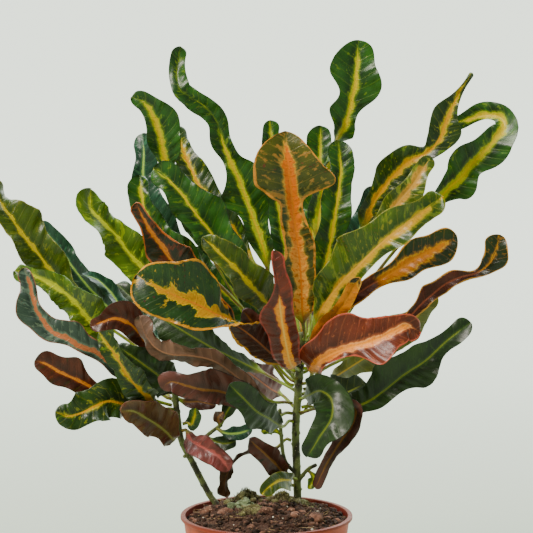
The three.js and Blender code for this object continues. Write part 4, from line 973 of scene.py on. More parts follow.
LEAVES = [
    # Left side, carried by the side stem
    Leaf("leaf_far_left_olive", SIDE, (204, 140), Look.OLIVE, 0.4,
         [(-95, 240, 58), (-130, 266, 56), (-151, 286, 48), (-169, 311, 42), (-182, 327, 38),
         (-192, 342, 36), (-200, 355, 38), (-201, 368, 42)],
         [40, 30, -10, -15, 15, 50], [7, 9, 12, 13, 12, 12, 10, 7], [9, 12, 15, 16, 18, 20, 15, 9],
         Wave(3.6, 3.5, 0.1)),
    Leaf("leaf_far_left_blue", SIDE, (210, 112), Look.BLUE, 0.45,
         [(-90, 250, 75), (-122, 276, 86), (-138, 294, 88), (-155, 317, 92), (-170, 336, 98)],
         [20, 0, -20, 0], [9, 12, 12, 10, 8], [8, 10, 11, 10, 8], Wave(3, 2.5, 0.6)),
    Leaf("leaf_left_lime", SIDE, (198, 172), Look.LIME, 0.38,
         [(-96, 226, 42), (-118, 246, 34), (-130, 260, 28), (-140, 273, 24), (-151, 284, 22),
         (-164, 292, 22), (-176, 297, 24), (-188, 300, 28)],
         [20, 10, -10, -25, -10], [9, 13, 13, 10, 8, 7], [10, 16, 17, 13, 9, 7],
         Wave(3.2, 3, 0.35)),
    Leaf("leaf_left_arch_grey", SIDE, (200, 82), Look.BLUE, 0.35,
         [(-80, 245, 62), (-98, 262, 76), (-110, 274, 80), (-118, 285, 80), (-127, 293, 78),
         (-139, 297, 74)],
         [30, 20, 30, 60], [6, 7, 7, 6], [6, 8, 8, 6], Wave(2, 2, 0.2)),
    Leaf("leaf_left_long_twisted", SIDE, (193, 184), Look.LOOP, 0.24,
         [(-88, 204, 18), (-102, 217, 4), (-116, 230, -4), (-129, 239, -9), (-143, 245, -12),
         (-154, 251, -11), (-164, 257, -9), (-170, 266, -7), (-174, 276, -5), (-176, 286, -2),
         (-178, 295, 0), (-181, 302, 2)],
         [0, 0], [5, 6, 6, 5, 5, 5, 8, 12, 14, 12, 7], [5, 6, 7, 9, 12, 14, 12, 7, 5, 4, 4],
         Wave(1.4, 5, 0.2)),
    Leaf("leaf_left_brown_oval", SIDE, (185, 200), Look.MAROON, 0.5,
         [(-97, 196, 12), (-116, 204, 2), (-130, 211, -4), (-142, 217, -8), (-154, 223, -12),
         (-165, 229, -15), (-174, 232, -17)],
         [0, 0], [4, 8, 10, 10, 9], [4, 9, 14, 14, 10], Wave(0.9, 2.5, 0.25)),
    Leaf("leaf_left_low_green", SIDE, (180, 172), Look.POINTED, 0.36,
         [(-86, 188, 20), (-101, 196, 4), (-111, 200, -6), (-121, 201, -12), (-130, 197, -18),
         (-140, 192, -22), (-150, 190, -26), (-159, 193, -28)],
         [0, -10, 0, 10], [7, 12, 14, 13, 11, 10], [6, 14, 17, 15, 14, 11], Wave(3.2, 3, 0.5),
         band=0.4),
    Leaf("leaf_left_low_brown", SIDE, (169, 235), Look.RUSSET, 0.16,
         [(-70, 172, 14), (-78, 180, 0), (-90, 188, -14), (-101, 194, -24), (-110, 194, -28)],
         [0, 0, 0, -10], [8, 9, 10, 12, 9], [9, 14, 17, 15, 10], Wave(2.2, 2.5, 0.7)),
    Leaf("leaf_left_mid_green", SIDE, (190, 222), Look.POINTED, 0.3,
         [(-79, 196, 2), (-91, 205, -18), (-102, 218, -32), (-110, 231, -38), (-118, 244, -40),
         (-125, 254, -40)],
         [0, 0, -20, -30], [7, 9, 10, 8, 7], [8, 11, 12, 10, 7], Wave(2.6, 2.5, 0.15), band=0.5),
    Leaf("leaf_left_mid_dark", SIDE, (204, 248), Look.DARK, 0.2,
         [(-70, 208, 8), (-78, 218, -6), (-88, 226, -13), (-99, 234, -17), (-112, 243, -19)],
         [10, 0, 0, 10], [10, 13, 14, 12, 9], [10, 13, 14, 12, 8], Wave(3, 3, 0.4)),
    Leaf("leaf_left_folded_tip", SIDE, (208, 206), Look.MAROON, 0.3,
         [(-72, 223, 10), (-81, 236, 4), (-89, 245, -2), (-96, 254, -8), (-104, 261, -14),
         (-114, 264, -18), (-124, 261, -20), (-132, 258, -20)],
         [0, 0], [6, 7, 8, 8, 10, 9, 6], [6, 7, 8, 11, 14, 12, 6], Wave(1.4, 2.5, 0.8)),
    # Left side, carried by the main stem
    Leaf("leaf_left_pink_long", MAIN, (196, 190), Look.PINK, 0.2,
         [(4, 201, 2), (-12, 210, -10), (-25, 222, -18), (-40, 232, -24), (-57, 236, -28),
         (-72, 237, -30), (-83, 242, -30), (-91, 253, -28), (-95, 266, -26)],
         [170, 160, 175, 160, 140, 150], [6, 7, 7, 7, 8, 7], [6, 7, 7, 8, 9, 8],
         Wave(2.6, 4, 0.3)),
    Leaf("leaf_left_purple_low", MAIN, (188, 205), Look.PURPLE, 0.26,
         [(8, 190, 4), (-5, 194, -14), (-20, 202, -26), (-35, 209, -34), (-48, 210, -40),
         (-60, 213, -42), (-72, 216, -42), (-79, 211, -40)],
         [10, 0, -10, 0], [7, 8, 9, 10, 8], [8, 13, 17, 15, 9], Wave(2.8, 3, 0.55), band=1.3),
    Leaf("leaf_left_gold", MAIN, (216, 242), Look.GOLD, 0.16,
         [(11, 231, -16), (1, 240, -34), (-9, 249, -50), (-19, 257, -62), (-29, 263, -70),
         (-38, 267, -76), (-51, 274, -80), (-70, 282, -84), (-87, 291, -84), (-97, 297, -80)],
         [160, 165, 170, 170, 165, 140, 75, 15, 0, 0, -5], [8, 13, 14, 11, 9, 18, 22, 19],
         [8, 13, 14, 11, 11, 24, 27, 21], Wave(2.2, 3, 0.2)),
    Leaf("leaf_left_orange_margin", MAIN, (210, 165), Look.EMBER, 0.34,
         [(0, 236, 12), (-20, 254, 3), (-41, 278, -7), (-59, 297, -16), (-71, 308, -20),
         (-79, 320, -24), (-87, 331, -28), (-93, 342, -31), (-97, 351, -33)],
         [0, 0, -10, -10], [6, 8, 9, 11, 14, 14, 9, 6], [6, 8, 10, 15, 17, 14, 8, 5],
         Wave(1.8, 4, 0.1)),
    Leaf("leaf_left_high_lime", MAIN, (213, 140), Look.LIME, 0.38,
         [(-8, 244, 24), (-40, 268, 22), (-72, 290, 18), (-97, 306, 12), (-112, 326, 8),
         (-124, 338, 4), (-132, 349, 4), (-131, 361, 8)],
         [0, -10, -10, 20, 40], [9, 12, 15, 17, 15, 12], [8, 12, 15, 14, 12, 10],
         Wave(3.2, 3.5, 0.6)),
    Leaf("leaf_left_back_dark", MAIN, (205, 120), Look.DARK, 0.2,
         [(-12, 228, 56), (-44, 244, 78), (-74, 262, 92), (-96, 276, 102), (-112, 290, 110)],
         [-20, -30, -20, 0], [9, 12, 14, 14, 12, 9], [9, 12, 14, 14, 12, 9], Wave(2.8, 3, 0.3)),
    Leaf("leaf_upper_left_green", MAIN, (228, 158), Look.GREEN, 0.44,
         [(-3, 244, 36), (-26, 285, 38), (-48, 323, 36), (-61, 349, 28), (-70, 369, 22),
         (-75, 382, 18), (-78, 397, 14), (-81, 408, 12), (-86, 419, 10), (-92, 426, 10),
         (-100, 429, 11)],
         [0, -10, -10, 0, 0], [6, 7, 8, 8, 7, 5, 8, 10, 9, 6], [7, 8, 9, 9, 7, 5, 12, 18, 16, 9],
         Wave(2.2, 4, 0.2), band=1.9),
    Leaf("leaf_upper_left_blue", MAIN, (221, 138), Look.BLUE, 0.48,
         [(-6, 239, 56), (-33, 278, 66), (-59, 309, 66), (-75, 327, 62), (-85, 344, 62),
         (-91, 362, 66), (-91, 390, 70), (-92, 402, 74)],
         [10, 10, 0, -20], [8, 10, 11, 10, 8], [8, 11, 14, 14, 11], Wave(2.8, 2.5, 0.5)),
    Leaf("leaf_upper_left_lobed", MAIN, (219, 182), Look.GREEN, 0.5,
         [(0, 250, 16), (-26, 280, 12), (-56, 308, 10), (-78, 326, 12), (-90, 344, 14),
         (-93, 358, 16), (-94, 371, 20)],
         [20, 10, 0, -10], [7, 10, 9, 11, 9], [7, 11, 10, 9, 7], Wave(3.2, 2.5, 0.9)),
    Leaf("leaf_upper_left_olive", MAIN, (240, 112), Look.POINTED, 0.4,
         [(8, 278, 46), (-12, 310, 64), (-34, 342, 76), (-50, 364, 84), (-58, 380, 90),
         (-64, 396, 96), (-68, 408, 102)],
         [0, -10, 0, 20], [8, 10, 11, 10, 8], [8, 11, 12, 11, 8], Wave(2.6, 2.5, 0)),
    Leaf("leaf_upper_left_dark", MAIN, (233, 186), Look.GREEN, 0.3,
         [(6, 256, 4), (-8, 280, -4), (-24, 304, -10), (-41, 328, -16), (-53, 343, -20),
         (-64, 358, -22), (-74, 369, -22), (-84, 376, -20)],
         [10, 0, -10, 0, 10], [8, 11, 12, 13, 13, 11], [9, 13, 17, 20, 18, 11],
         Wave(3.2, 3.5, 0.4), band=0.8),
    Leaf("leaf_upper_left_slim", MAIN, (243, 205), Look.OLIVE, 0.32,
         [(12, 262, -14), (0, 276, -30), (-12, 289, -42), (-24, 302, -48), (-36, 314, -50),
         (-48, 325, -50)],
         [10, 0, 20, 30], [8, 12, 13, 12, 8], [9, 14, 16, 14, 9], Wave(2.8, 2.5, 0.7), band=1.1),
    Leaf("leaf_left_centre_green", MAIN, (228, 98), Look.GREEN, 0.26,
         [(4, 252, 36), (-14, 268, 44), (-26, 279, 48), (-38, 290, 50), (-47, 302, 52),
         (-55, 317, 56)],
         [0, 0, 10, 20], [6, 10, 13, 13, 9], [6, 10, 13, 13, 9], Wave(2.6, 2.5, 0.1)),
    # Upright leaves of the middle
    Leaf("leaf_top_twisted_left", MAIN, (247, 165), Look.GREEN, 0.24,
         [(13, 264, 22), (4, 289, 24), (-3, 319, 26), (-12, 345, 26), (-19, 365, 24),
         (-27, 382, 22), (-33, 397, 20), (-37, 411, 18), (-46, 422, 14), (-56, 429, 10),
         (-63, 434, 8), (-66, 444, 12), (-65, 456, 15), (-63, 466, 16)],
         [20, 10, 0, 0, 0, 0], [7, 9, 10, 19, 11, 6, 8, 8, 8, 8, 7, 6],
         [7, 10, 13, 15, 19, 8, 8, 8, 8, 8, 7, 6], Wave(2.6, 5, 0.3), rib_end=0.62, band=1.6),
    Leaf("leaf_top_back_tip", MAIN, (243, 95), Look.GREEN, 0.35,
         [(20, 282, 46), (14, 318, 66), (8, 352, 80), (4, 384, 90), (3, 412, 96)],
         [0, 0, 10, 0], [9, 11, 10, 9, 7], [9, 11, 10, 9, 7], Wave(2.6, 3, 0.5)),
    Leaf("leaf_top_hooded", MAIN, (247, 285), Look.HOODED, 0.12,
         [(27, 264, -8), (26, 290, -18), (24, 314, -26), (21, 336, -34), (19, 354, -42),
         (17, 372, -50), (15, 388, -54), (14, 404, -52)],
         [10, 5, 0, 0, 0], [7, 9, 11, 13, 13, 12, 11, 10, 9, 9, 19, 29, 25, 22],
         [7, 9, 11, 13, 13, 12, 11, 10, 9, 9, 20, 30, 25, 22], Wave(1.2, 3, 0.2), droop=0.2),
    Leaf("leaf_top_round_tip", MAIN, (239, 65), Look.GREEN, 0.3,
         [(30, 274, 40), (32, 306, 54), (36, 342, 66), (39, 372, 74), (40, 392, 78),
         (40, 408, 80)],
         [0, 0], [8, 10, 10, 11, 10], [8, 10, 10, 11, 10], Wave(2.2, 3, 0.3)),
    Leaf("leaf_top_right_green", MAIN, (244, 15), Look.GREEN, 0.16,
         [(37, 268, 8), (42, 294, 6), (47, 318, 4), (51, 342, 4), (54, 364, 6), (55, 380, 10),
         (53, 397, 14)],
         [10, 0, 0, 10, 20], [8, 10, 11, 12, 11, 9], [8, 9, 10, 11, 11, 9], Wave(2.6, 3.5, 0.6)),
    Leaf("leaf_top_tallest", MAIN, (248, 50), Look.GREEN, 0.34,
         [(33, 286, 32), (37, 322, 38), (41, 356, 40), (46, 384, 38), (51, 397, 36), (58, 409, 34),
         (63, 425, 32), (66, 441, 30), (67, 456, 30), (68, 471, 30)],
         [0, 0, 0, 5, 20, 80, 15, 0, 0], [8, 9, 9, 9, 9, 8, 15, 12, 19, 17],
         [8, 9, 9, 9, 9, 9, 7, 15, 19, 15], Wave(2.4, 4, 0.5), band=1.9),
    Leaf("leaf_right_centre_sheen", MAIN, (231, 60), Look.BLUE, 0.3,
         [(36, 266, 32), (46, 298, 42), (57, 315, 50), (70, 332, 58), (77, 348, 64),
         (81, 362, 70)],
         [0, -10, -10, 0], [8, 12, 14, 13, 8], [8, 9, 10, 9, 7], Wave(2.6, 2.5, 0.8)),
    # Right side
    Leaf("leaf_right_olive_big", MAIN, (236, 335), Look.TAN, 0.2,
         [(40, 268, -16), (55, 290, -30), (70, 305, -42), (85, 320, -50), (100, 332, -54),
         (115, 344, -54), (130, 356, -50)],
         [0, 0, -5, 0, 10], [9, 16, 21, 22, 20, 15, 10], [6, 8, 9, 9, 8, 12, 9],
         Wave(3.2, 3.5, 0.3), shift=1.5),
    Leaf("leaf_right_pointed", MAIN, (240, 25), Look.POINTED, 0.4,
         [(45, 261, 22), (62, 294, 26), (76, 342, 22), (87, 362, 16), (97, 373, 10), (107, 382, 6),
         (121, 389, 4), (129, 400, 2), (134, 414, 0), (142, 431, -2), (152, 447, -4)],
         [0, 0], [7, 8, 9, 12, 15, 15, 5, 8, 13, 12, 5, 2],
         [7, 9, 9, 10, 10, 8, 6, 11, 13, 7, 4, 2], Wave(1.8, 4, 0.7)),
    Leaf("leaf_right_peach", MAIN, (230, 355), Look.PEACH, 0.5,
         [(39, 254, 4), (52, 280, -3), (68, 312, -9), (85, 334, -13), (98, 351, -16),
         (108, 363, -18), (115, 374, -18), (122, 385, -16)],
         [0, 0], [6, 8, 9, 9, 6], [6, 8, 11, 11, 7], Wave(1.8, 3, 0.4)),
    Leaf("leaf_right_looped", MAIN, (220, 40), Look.GREEN, 0.44,
         [(48, 248, 36), (74, 287, 44), (102, 323, 42), (117, 341, 38), (128, 353, 34),
         (136, 362, 30), (144, 369, 26), (152, 379, 22), (162, 389, 18), (170, 399, 15),
         (176, 407, 16), (173, 414, 20), (164, 416, 25), (154, 414, 30), (145, 411, 34),
         (136, 408, 38)],
         [0, 0], [4, 5, 5, 8, 14, 15, 14, 12, 7, 4, 4, 5],
         [4, 5, 5, 10, 15, 11, 15, 14, 12, 11, 9, 6], Wave(1.6, 4, 0.1), band=2.3),
    Leaf("leaf_right_orange_paddle", MAIN, (224, 325), Look.PADDLE, 0.24,
         [(37, 251, -8), (49, 265, -14), (62, 278, -18), (76, 288, -18), (88, 295, -18),
         (100, 302, -18), (111, 309, -20), (122, 315, -22), (132, 321, -25), (142, 326, -28)],
         [0, 0], [4, 6, 6, 6, 6, 7, 10, 12, 13, 12], [4, 6, 6, 6, 6, 7, 10, 12, 14, 13],
         Wave(1.4, 3.5, 0.4), shift=1.5, brown=0.5),
    Leaf("leaf_right_ochre_small", MAIN, (228, 300), Look.PADDLE, 0.3,
         [(36, 250, -22), (48, 263, -36), (59, 277, -46), (69, 295, -52)],
         [20, 10, 10], [5, 6, 5], [5, 6, 5], Wave(1.4, 2, 0.2), band=1.4),
    Leaf("leaf_right_salmon", MAIN, (212, 320), Look.SALMON, 0.18,
         [(38, 230, -26), (45, 235, -38), (54, 239, -45), (63, 242, -49), (75, 245, -52),
         (86, 249, -54), (96, 254, -54), (105, 258, -52), (115, 254, -48)],
         [10, 10, 0, -10, -10], [6, 13, 18, 21, 22, 26, 17, 12, 10],
         [6, 7, 5, 5, 7, 10, 19, 14, 11], Wave(1.8, 3.5, 0.3)),
    Leaf("leaf_right_twisted_brown", MAIN, (207, 5), Look.PADDLE, 0.42,
         [(39, 223, 16), (70, 239, 20), (90, 249, 20), (101, 258, 18), (108, 266, 16),
         (116, 275, 14), (124, 282, 12), (134, 290, 8), (145, 295, 4), (156, 298, 0),
         (163, 302, -2), (168, 308, -4), (171, 316, -6), (174, 327, -6)],
         [0, 0], [3, 4, 5, 9, 8, 8, 6, 3, 4, 8, 9], [3, 4, 5, 5, 6, 5, 5, 3, 6, 11, 9],
         Wave(1.6, 5, 0.2), brown=0.74, band=0.1),
    Leaf("leaf_right_low_green", MAIN, (193, 345), Look.DARK, 0.2,
         [(46, 194, 4), (62, 196, -6), (76, 201, -14), (88, 209, -20), (104, 222, -24),
         (119, 232, -26), (136, 248, -26), (153, 261, -24)],
         [-10, 0, 0, 10, 0], [8, 12, 16, 18, 16, 10, 8], [6, 8, 9, 12, 15, 8, 7],
         Wave(2.2, 3.5, 0.5)),
    Leaf("leaf_right_hanging_purple", MAIN, (189, 315), Look.PURPLE, 0.14,
         [(44, 198, -8), (58, 198, -22), (67, 195, -30), (66, 186, -33), (58, 173, -33),
         (49, 159, -32), (42, 146, -30), (37, 135, -27)],
         [-20, 10, 20, 20, 10], [6, 7, 7, 6, 4], [6, 7, 8, 7, 4], Wave(1.8, 3, 0.1)),
    Leaf("leaf_front_hanging_green", MAIN, (200, 295), Look.DARK, 0.12,
         [(32, 206, -8), (41, 209, -24), (49, 202, -36), (49, 189, -43), (40, 174, -44),
         (31, 159, -40)],
         [0, 0], [7, 12, 15, 14, 9], [7, 11, 14, 14, 8], Wave(2.4, 2.5, 0.4)),
    # Front and centre
    Leaf("leaf_front_red_orange", MAIN, (223, 262), Look.FLAME, 0.14,
         [(18, 230, -26), (15, 243, -46), (12, 259, -62), (10, 274, -74), (9, 288, -81),
         (6, 302, -84), (5, 315, -84)],
         [0, 0, 0, 10], [6, 9, 12, 14, 15, 6, 2], [6, 9, 11, 9, 10, 11, 7], Wave(1.2, 2.5, 0.3),
         rib_end=0.8),
    Leaf("leaf_centre_purple", MAIN, (229, 220), Look.PURPLE, 0.3,
         [(12, 238, -10), (2, 248, -26), (-8, 258, -36), (-18, 270, -42)],
         [0, 0, 10], [7, 10, 7], [7, 10, 8], Wave(1.6, 2, 0.3)),
    Leaf("leaf_front_dark_low", MAIN, (182, 230), Look.DARK, 0.3,
         [(12, 182, -6), (2, 188, -30), (-8, 194, -46), (-18, 204, -56), (-28, 214, -60)],
         [10, 0, 10], [8, 11, 12, 10], [8, 11, 12, 10], Wave(2.2, 2.5, 0.6)),
    Leaf("leaf_base_purple", MAIN, (136, 262), Look.PURPLE, 0.2,
         [(15, 145, 14), (6, 154, 2), (-3, 163, -6), (-13, 172, -10)],
         [0, 0], [6, 9, 9, 7], [6, 9, 9, 7], Wave(1.8, 2, 0.3)),
    Leaf("leaf_base_yellow", MAIN, (131, 232), Look.OLIVE, 0.15,
         [(17, 141, 2), (9, 140, -9), (2, 136, -16), (-4, 130, -20)],
         [0, 0], [6, 8, 6], [5, 7, 6], Wave(1.2, 2, 0.2), brown=0.3, band=0.3),
    Leaf("leaf_base_withered", MAIN, (166, 165), Look.WITHERED, 0.3,
         [(8, 166, 24), (-6, 163, 18), (-19, 160, 14), (-28, 150, 14), (-32, 138, 16),
         (-31, 128, 20)],
         [20, 30, 120, 160], [4, 7, 6, 5], [4, 7, 6, 5], Wave(2, 3, 0.4)),
    Leaf("leaf_side_stem_rose", SIDE, (173, 320), Look.ROSE, 0.1,
         [(-56, 171, 18), (-46, 165, 6), (-36, 159, 0), (-28, 148, -4)],
         [0, 0, 10], [7, 9, 7], [8, 11, 8], Wave(1.8, 2, 0.1)),
    Leaf("leaf_side_stem_green", SIDE, (178, 5), Look.GREEN, 0.15,
         [(-56, 184, 24), (-53, 196, 20)],
         [0, 0], [4, 6, 5], [4, 6, 5], Wave(0.8, 2, 0.1), band=0.4),
    # Back of the plant
    Leaf("leaf_back_green", MAIN, (199, 85), Look.GREEN, 0.25,
         [(22, 214, 46), (18, 232, 74), (12, 252, 100), (4, 272, 122), (-6, 288, 138)],
         [180, 180, 170], [9, 13, 15, 14, 10], [9, 13, 15, 14, 10], Wave(3, 3, 0.2)),
    Leaf("leaf_back_gold", MAIN, (211, 92), Look.GOLD, 0.22,
         [(24, 232, 42), (34, 254, 66), (42, 280, 86), (48, 304, 100), (50, 326, 108)],
         [170, 175, 190], [9, 14, 16, 15, 10], [9, 14, 16, 15, 10], Wave(3, 3, 0.5), band=0.6),
    Leaf("leaf_back_right_olive", MAIN, (202, 50), Look.OLIVE, 0.24,
         [(42, 214, 46), (64, 228, 66), (88, 244, 82), (110, 262, 92), (126, 282, 98)],
         [190, 200, 190], [9, 14, 15, 14, 9], [9, 14, 15, 14, 9], Wave(3, 3, 0.7)),
    Leaf("leaf_back_right_low", MAIN, (187, 40), Look.DARK, 0.24,
         [(34, 202, 22), (46, 203, 30), (60, 208, 36), (75, 215, 42)],
         [200, 200, 190], [9, 14, 15, 10], [9, 14, 15, 10], Wave(2.4, 2.5, 0.3)),
    Leaf("leaf_back_left_maroon", MAIN, (192, 115), Look.MAROON, 0.26,
         [(13, 205, 40), (3, 211, 60), (-9, 220, 80), (-20, 228, 98)],
         [170, 160, 170], [9, 14, 15, 10], [9, 14, 15, 10], Wave(2.4, 2.5, 0.8)),
    Leaf("leaf_back_left_purple", SIDE, (192, 100), Look.PURPLE, 0.26,
         [(-74, 206, 56), (-84, 216, 80), (-98, 224, 102), (-112, 228, 120)],
         [170, 165, 170], [8, 11, 12, 8], [8, 11, 12, 8], Wave(2.2, 2.5, 0.2)),
]

# Small leaves fused to the stems and twigs: their routes start inside what they grow from
SHOOTS = [
    Leaf("shoot_main_1", MAIN, None, Look.LIME, 0.2,
         [(11, 176, 16), (4, 180, 12), (-4, 178, 9)],
         [0, 0], [3, 5, 3], [3, 5, 3], Wave(0.6, 2, 0.2), band=0.4),
    Leaf("shoot_main_2", MAIN, None, Look.LIME, 0.2,
         [(31, 149, 24), (36, 143, 22), (32, 134, 18)],
         [0, 0], [3, 5, 3], [3, 5, 3], Wave(0.5, 2, 0.3), band=0.4),
    Leaf("shoot_side_3", SIDE, None, Look.PURPLE, 0.2,
         [(-70, 205, 30), (-61, 201, 29), (-50, 201, 26), (-38, 198, 24)],
         [0, 10], [5, 7, 5], [5, 7, 5], Wave(1, 2, 0.3), band=0.4),
    Leaf("shoot_side_4", SIDE, None, Look.DARK, 0.2,
         [(-35, 182, 22), (-30, 193, 18), (-25, 200, 16), (-18, 203, 14)],
         [0, 10], [4, 6, 4], [4, 6, 4], Wave(1, 2, 0.1), band=0.4),
    Leaf("shoot_side_5", SIDE, None, Look.PINK, 0.2,
         [(-35, 182, 22), (-36, 189, 14), (-33, 193, 8)],
         [0, 0], [3, 5, 4], [3, 5, 4], Wave(0.6, 2, 0.5), band=0.4),
    Leaf("shoot_side_6", SIDE, None, Look.BLUE, 0.2,
         [(-38, 181, 23), (-31, 177, 16), (-21, 177, 10), (-11, 180, 6)],
         [0, 0], [4, 6, 5], [4, 6, 5], Wave(0.8, 2, 0.2), band=0.4),
    Leaf("shoot_side_7", SIDE, None, Look.DARK, 0.2,
         [(-46, 175, 27), (-40, 171, 22), (-31, 169, 18), (-23, 171, 16)],
         [0, 10], [4, 7, 5], [4, 6, 5], Wave(1, 2, 0.6), band=0.4),
]


# Stems


@dataclass(frozen=True)
class StemFinish:
    """Young croton wood: to the eye dark, dull bark, green in places, with pale pores.

    Sizes are in mm. Each edge is a pair: where its mask starts and where it is full.
    """

    name: str = "croton_wood_young_bark"
    bark: str = "#2a2a14"
    green: str = "#66703a"
    grey: str = "#8a8068"
    dark: str = "#352d20"
    pore_size: float = 1.2
    streak_size: float = 2.5
    streak_shape: Triple = (1.0, 1.0, 0.3)
    cloud_size: float = 14.0
    green_edge: Pair = (0.4, 0.6)
    dark_edge: Pair = (0.55, 0.7)
    pore_edge: Pair = (0.22, 0.12)

    def build(self) -> Material:
        """Make the material.

        Returns:
            The material.
        """
        nodes = Nodes(self.name)
        put = nodes.put
        place = put(Kind.PLACE)
        clouds = put(Kind.NOISE, {"Vector": place, "Scale": pattern_scale(self.cloud_size),
                                  "Detail": 2.0})
        streak = put(Kind.NOISE, {"Vector": put(Kind.STRETCH, [place, self.streak_shape]),
                                  "Scale": pattern_scale(self.streak_size), "Detail": 4.0})
        pores = put(Kind.PORES, {"Vector": place, "Scale": pattern_scale(self.pore_size * 2)})
        colour = nodes.layered(self.bark, [
            (put(Kind.SOFT, [clouds, *self.green_edge]), self.green),
            (put(Kind.SOFT, [streak, *self.dark_edge]), self.dark),
            (put(Kind.SOFT, [pores, *self.pore_edge]), self.grey)])
        bump = put(Kind.BUMP, {"Height": streak, "Strength": 0.8, "Distance": 0.4 * MM})
        return nodes.surface({"Base Color": colour, "Roughness": 0.72, "Normal": bump,
                              "IOR": 1.48})


@dataclass
class Twig:
    """A thin side shoot fused to its stem. Its route starts inside the stem."""

    route: Points
    radius: float = 1.5


@dataclass
class Stem:
    """A stem from below the soil to its tip, with rings where old leaves have dropped.

    A ring is a knot round the stem, with a scar on one side that steps round from ring to
    ring. Its width is a share of the ring spacing, and the swells are shares of the radius.
    The twigs' ring starts are the first one's and the step to the next one's.
    """

    name: StemName
    radius: float
    foot: Pair
    route: Points
    twigs: list[Twig]
    soil: Soil
    root_depth: float = 28.0
    neck: float = 1.0
    sides: int = 20
    step: float = 1.2
    fewest_steps: int = 24
    ring_spacing: float = 9.0
    ring_width: float = 0.09
    ring_swell: float = 0.10
    scar_swell: float = 0.22
    scar_width: float = 0.4
    scar_turn: float = 2.4
    ring_start: float = 0.2
    twig_ring_starts: Pair = (0.4, 0.3)
    end_least: float = 0.08
    slack: float = 0.98
    curve: Curve = field(init=False, repr=False)

    def __post_init__(self) -> None:
        """Lead the curve straight up out of the soil and along the route."""
        x, y = self.foot
        ground = self.soil.height(x, y)
        depths = (ground - self.root_depth, ground - self.root_depth / 2, ground + self.neck)
        below = [(x, y, z) for z in depths]
        self.curve = Curve(np.vstack([below, VIEWER.placed(self.route)]))

    def tube(self, curve: Curve, radius: float, seed: float) -> Part:
        """Points and faces of a knobbly closed tube along a curve.

        Args:
            curve: the line that it follows.
            radius: its radius in mm.
            seed: moves its knobs.

        Returns:
            Points in mm, and faces.
        """
        steps = max(self.fewest_steps, round(curve.length / self.step))
        places = np.linspace(0, 1, steps)
        centre, ahead = curve.point(places), curve.ahead(places)
        first = unit(np.cross(ahead, np.array([0.0, 1.0, 0.0])))
        second = np.cross(ahead, first)
        turn = round_turn(self.sides)
        rings = []
        for i, place in enumerate(places):
            count = place * curve.length / self.ring_spacing + seed
            knot = math.exp(-((count % 1.0 - 0.5) / self.ring_width) ** 2)
            off_scar = (np.cos(turn - self.scar_turn * int(count)) - 1) / self.scar_width
            swell = 1 + self.ring_swell * knot + self.scar_swell * knot * np.exp(-off_scar**2)
            past = max(0.0, (place - 1) * curve.length / radius + 1)
            end = math.sqrt(max(0.0, 1 - past**2))
            wide = radius * max(self.end_least, end) * swell * self.slack
            rings.append(centre[i] + first[i] * (np.cos(turn) * wide)[:, None]
                         + second[i] * (np.sin(turn) * wide)[:, None])
        return np.concatenate(rings), tube_faces(steps, self.sides)

    def build(self, finish: StemFinish) -> Object:
        """Make the stem and its twigs as one piece.

        Args:
            finish: what its bark is like.

        Returns:
            The finished piece.
        """
        parts = [self.tube(self.curve, self.radius, self.ring_start)]
        first, step = self.twig_ring_starts
        for i, twig in enumerate(self.twigs):
            parts.append(self.tube(Curve(VIEWER.placed(twig.route)), twig.radius, first + step * i))
        material = bpy.data.materials.get(finish.name) or finish.build()
        piece = mesh_object(f"stem_{self.name.value}_bark", *joined(parts), material)
        return settle(piece, "stem", f"stem_{self.name.value}")


# Pot


@dataclass(frozen=True)
class PotFinish:
    """Moulded polypropylene in a terracotta orange: satin, with faint flow marks down the wall.

    The lining and the top of the lip are painted darker, as painted shade, and peat dust
    clings to the lining near the soil. Sizes are in mm. Each edge is a pair: where its mask
    starts and where it is full.
    """

    wall: str = "#b0421c"
    worn: str = "#9c3a1a"
    # painted shade: the darker colour on the top of the lip
    lip_shade: str = "#762a14"
    # painted shade: the colour of the lining inside the pot
    inside: str = "#6e2218"
    dust: str = "#5a3f2f"
    flow_size: float = 18.0
    flow_shape: Triple = (1.0, 1.0, 0.25)
    grit_size: float = 2.2
    worn_edge: Pair = (0.4, 0.62)
    dust_edge: Pair = (0.3, 0.5)
    gloss_range: Pair = (0.42, 0.58)

    def build(self, rim: float, soil_edge: float) -> Material:
        """Make the material.

        Args:
            rim: height of the pot's rim, in mm.
            soil_edge: height of the soil at the wall, in mm.

        Returns:
            The material.
        """
        nodes = Nodes("polypropylene_moulded_terracotta")
        put = nodes.put
        place = put(Kind.PLACE)
        noted = put(Kind.NOTED, attribute_name="pot_side")
        inner, height, _ = put(Kind.SPLIT, [noted]).node.outputs
        flow = put(Kind.NOISE, {"Vector": put(Kind.STRETCH, [place, self.flow_shape]),
                                "Scale": pattern_scale(self.flow_size), "Detail": 3.0})
        grit = put(Kind.NOISE, {"Vector": place, "Scale": pattern_scale(self.grit_size),
                                "Detail": 5.0})
        low = put(Kind.SOFT, [height, rim - 0.5, soil_edge - 1])
        dusty = put(Kind.SOFT, [put(Kind.MULTIPLY, [grit, low]), *self.dust_edge])
        # Painted shade: the lining and the top of the lip take darker tones; the dust is real
        colour = nodes.layered(self.wall, [
            (put(Kind.SOFT, [flow, *self.worn_edge]), self.worn), (inner, self.inside),
            (put(Kind.MULTIPLY, [dusty, inner]), self.dust),
            (put(Kind.SOFT, [height, rim - 3, rim - 0.5]), self.lip_shade)])
        return nodes.surface({
            "Base Color": colour,
            "Roughness": put(Kind.EVEN, [grit, *MOST_NOISE, *self.gloss_range]),
            "Normal": put(Kind.BUMP, {"Height": grit, "Strength": 0.25, "Distance": 0.15 * MM}),
            "IOR": 1.49, "Specular IOR Level": 0.3})


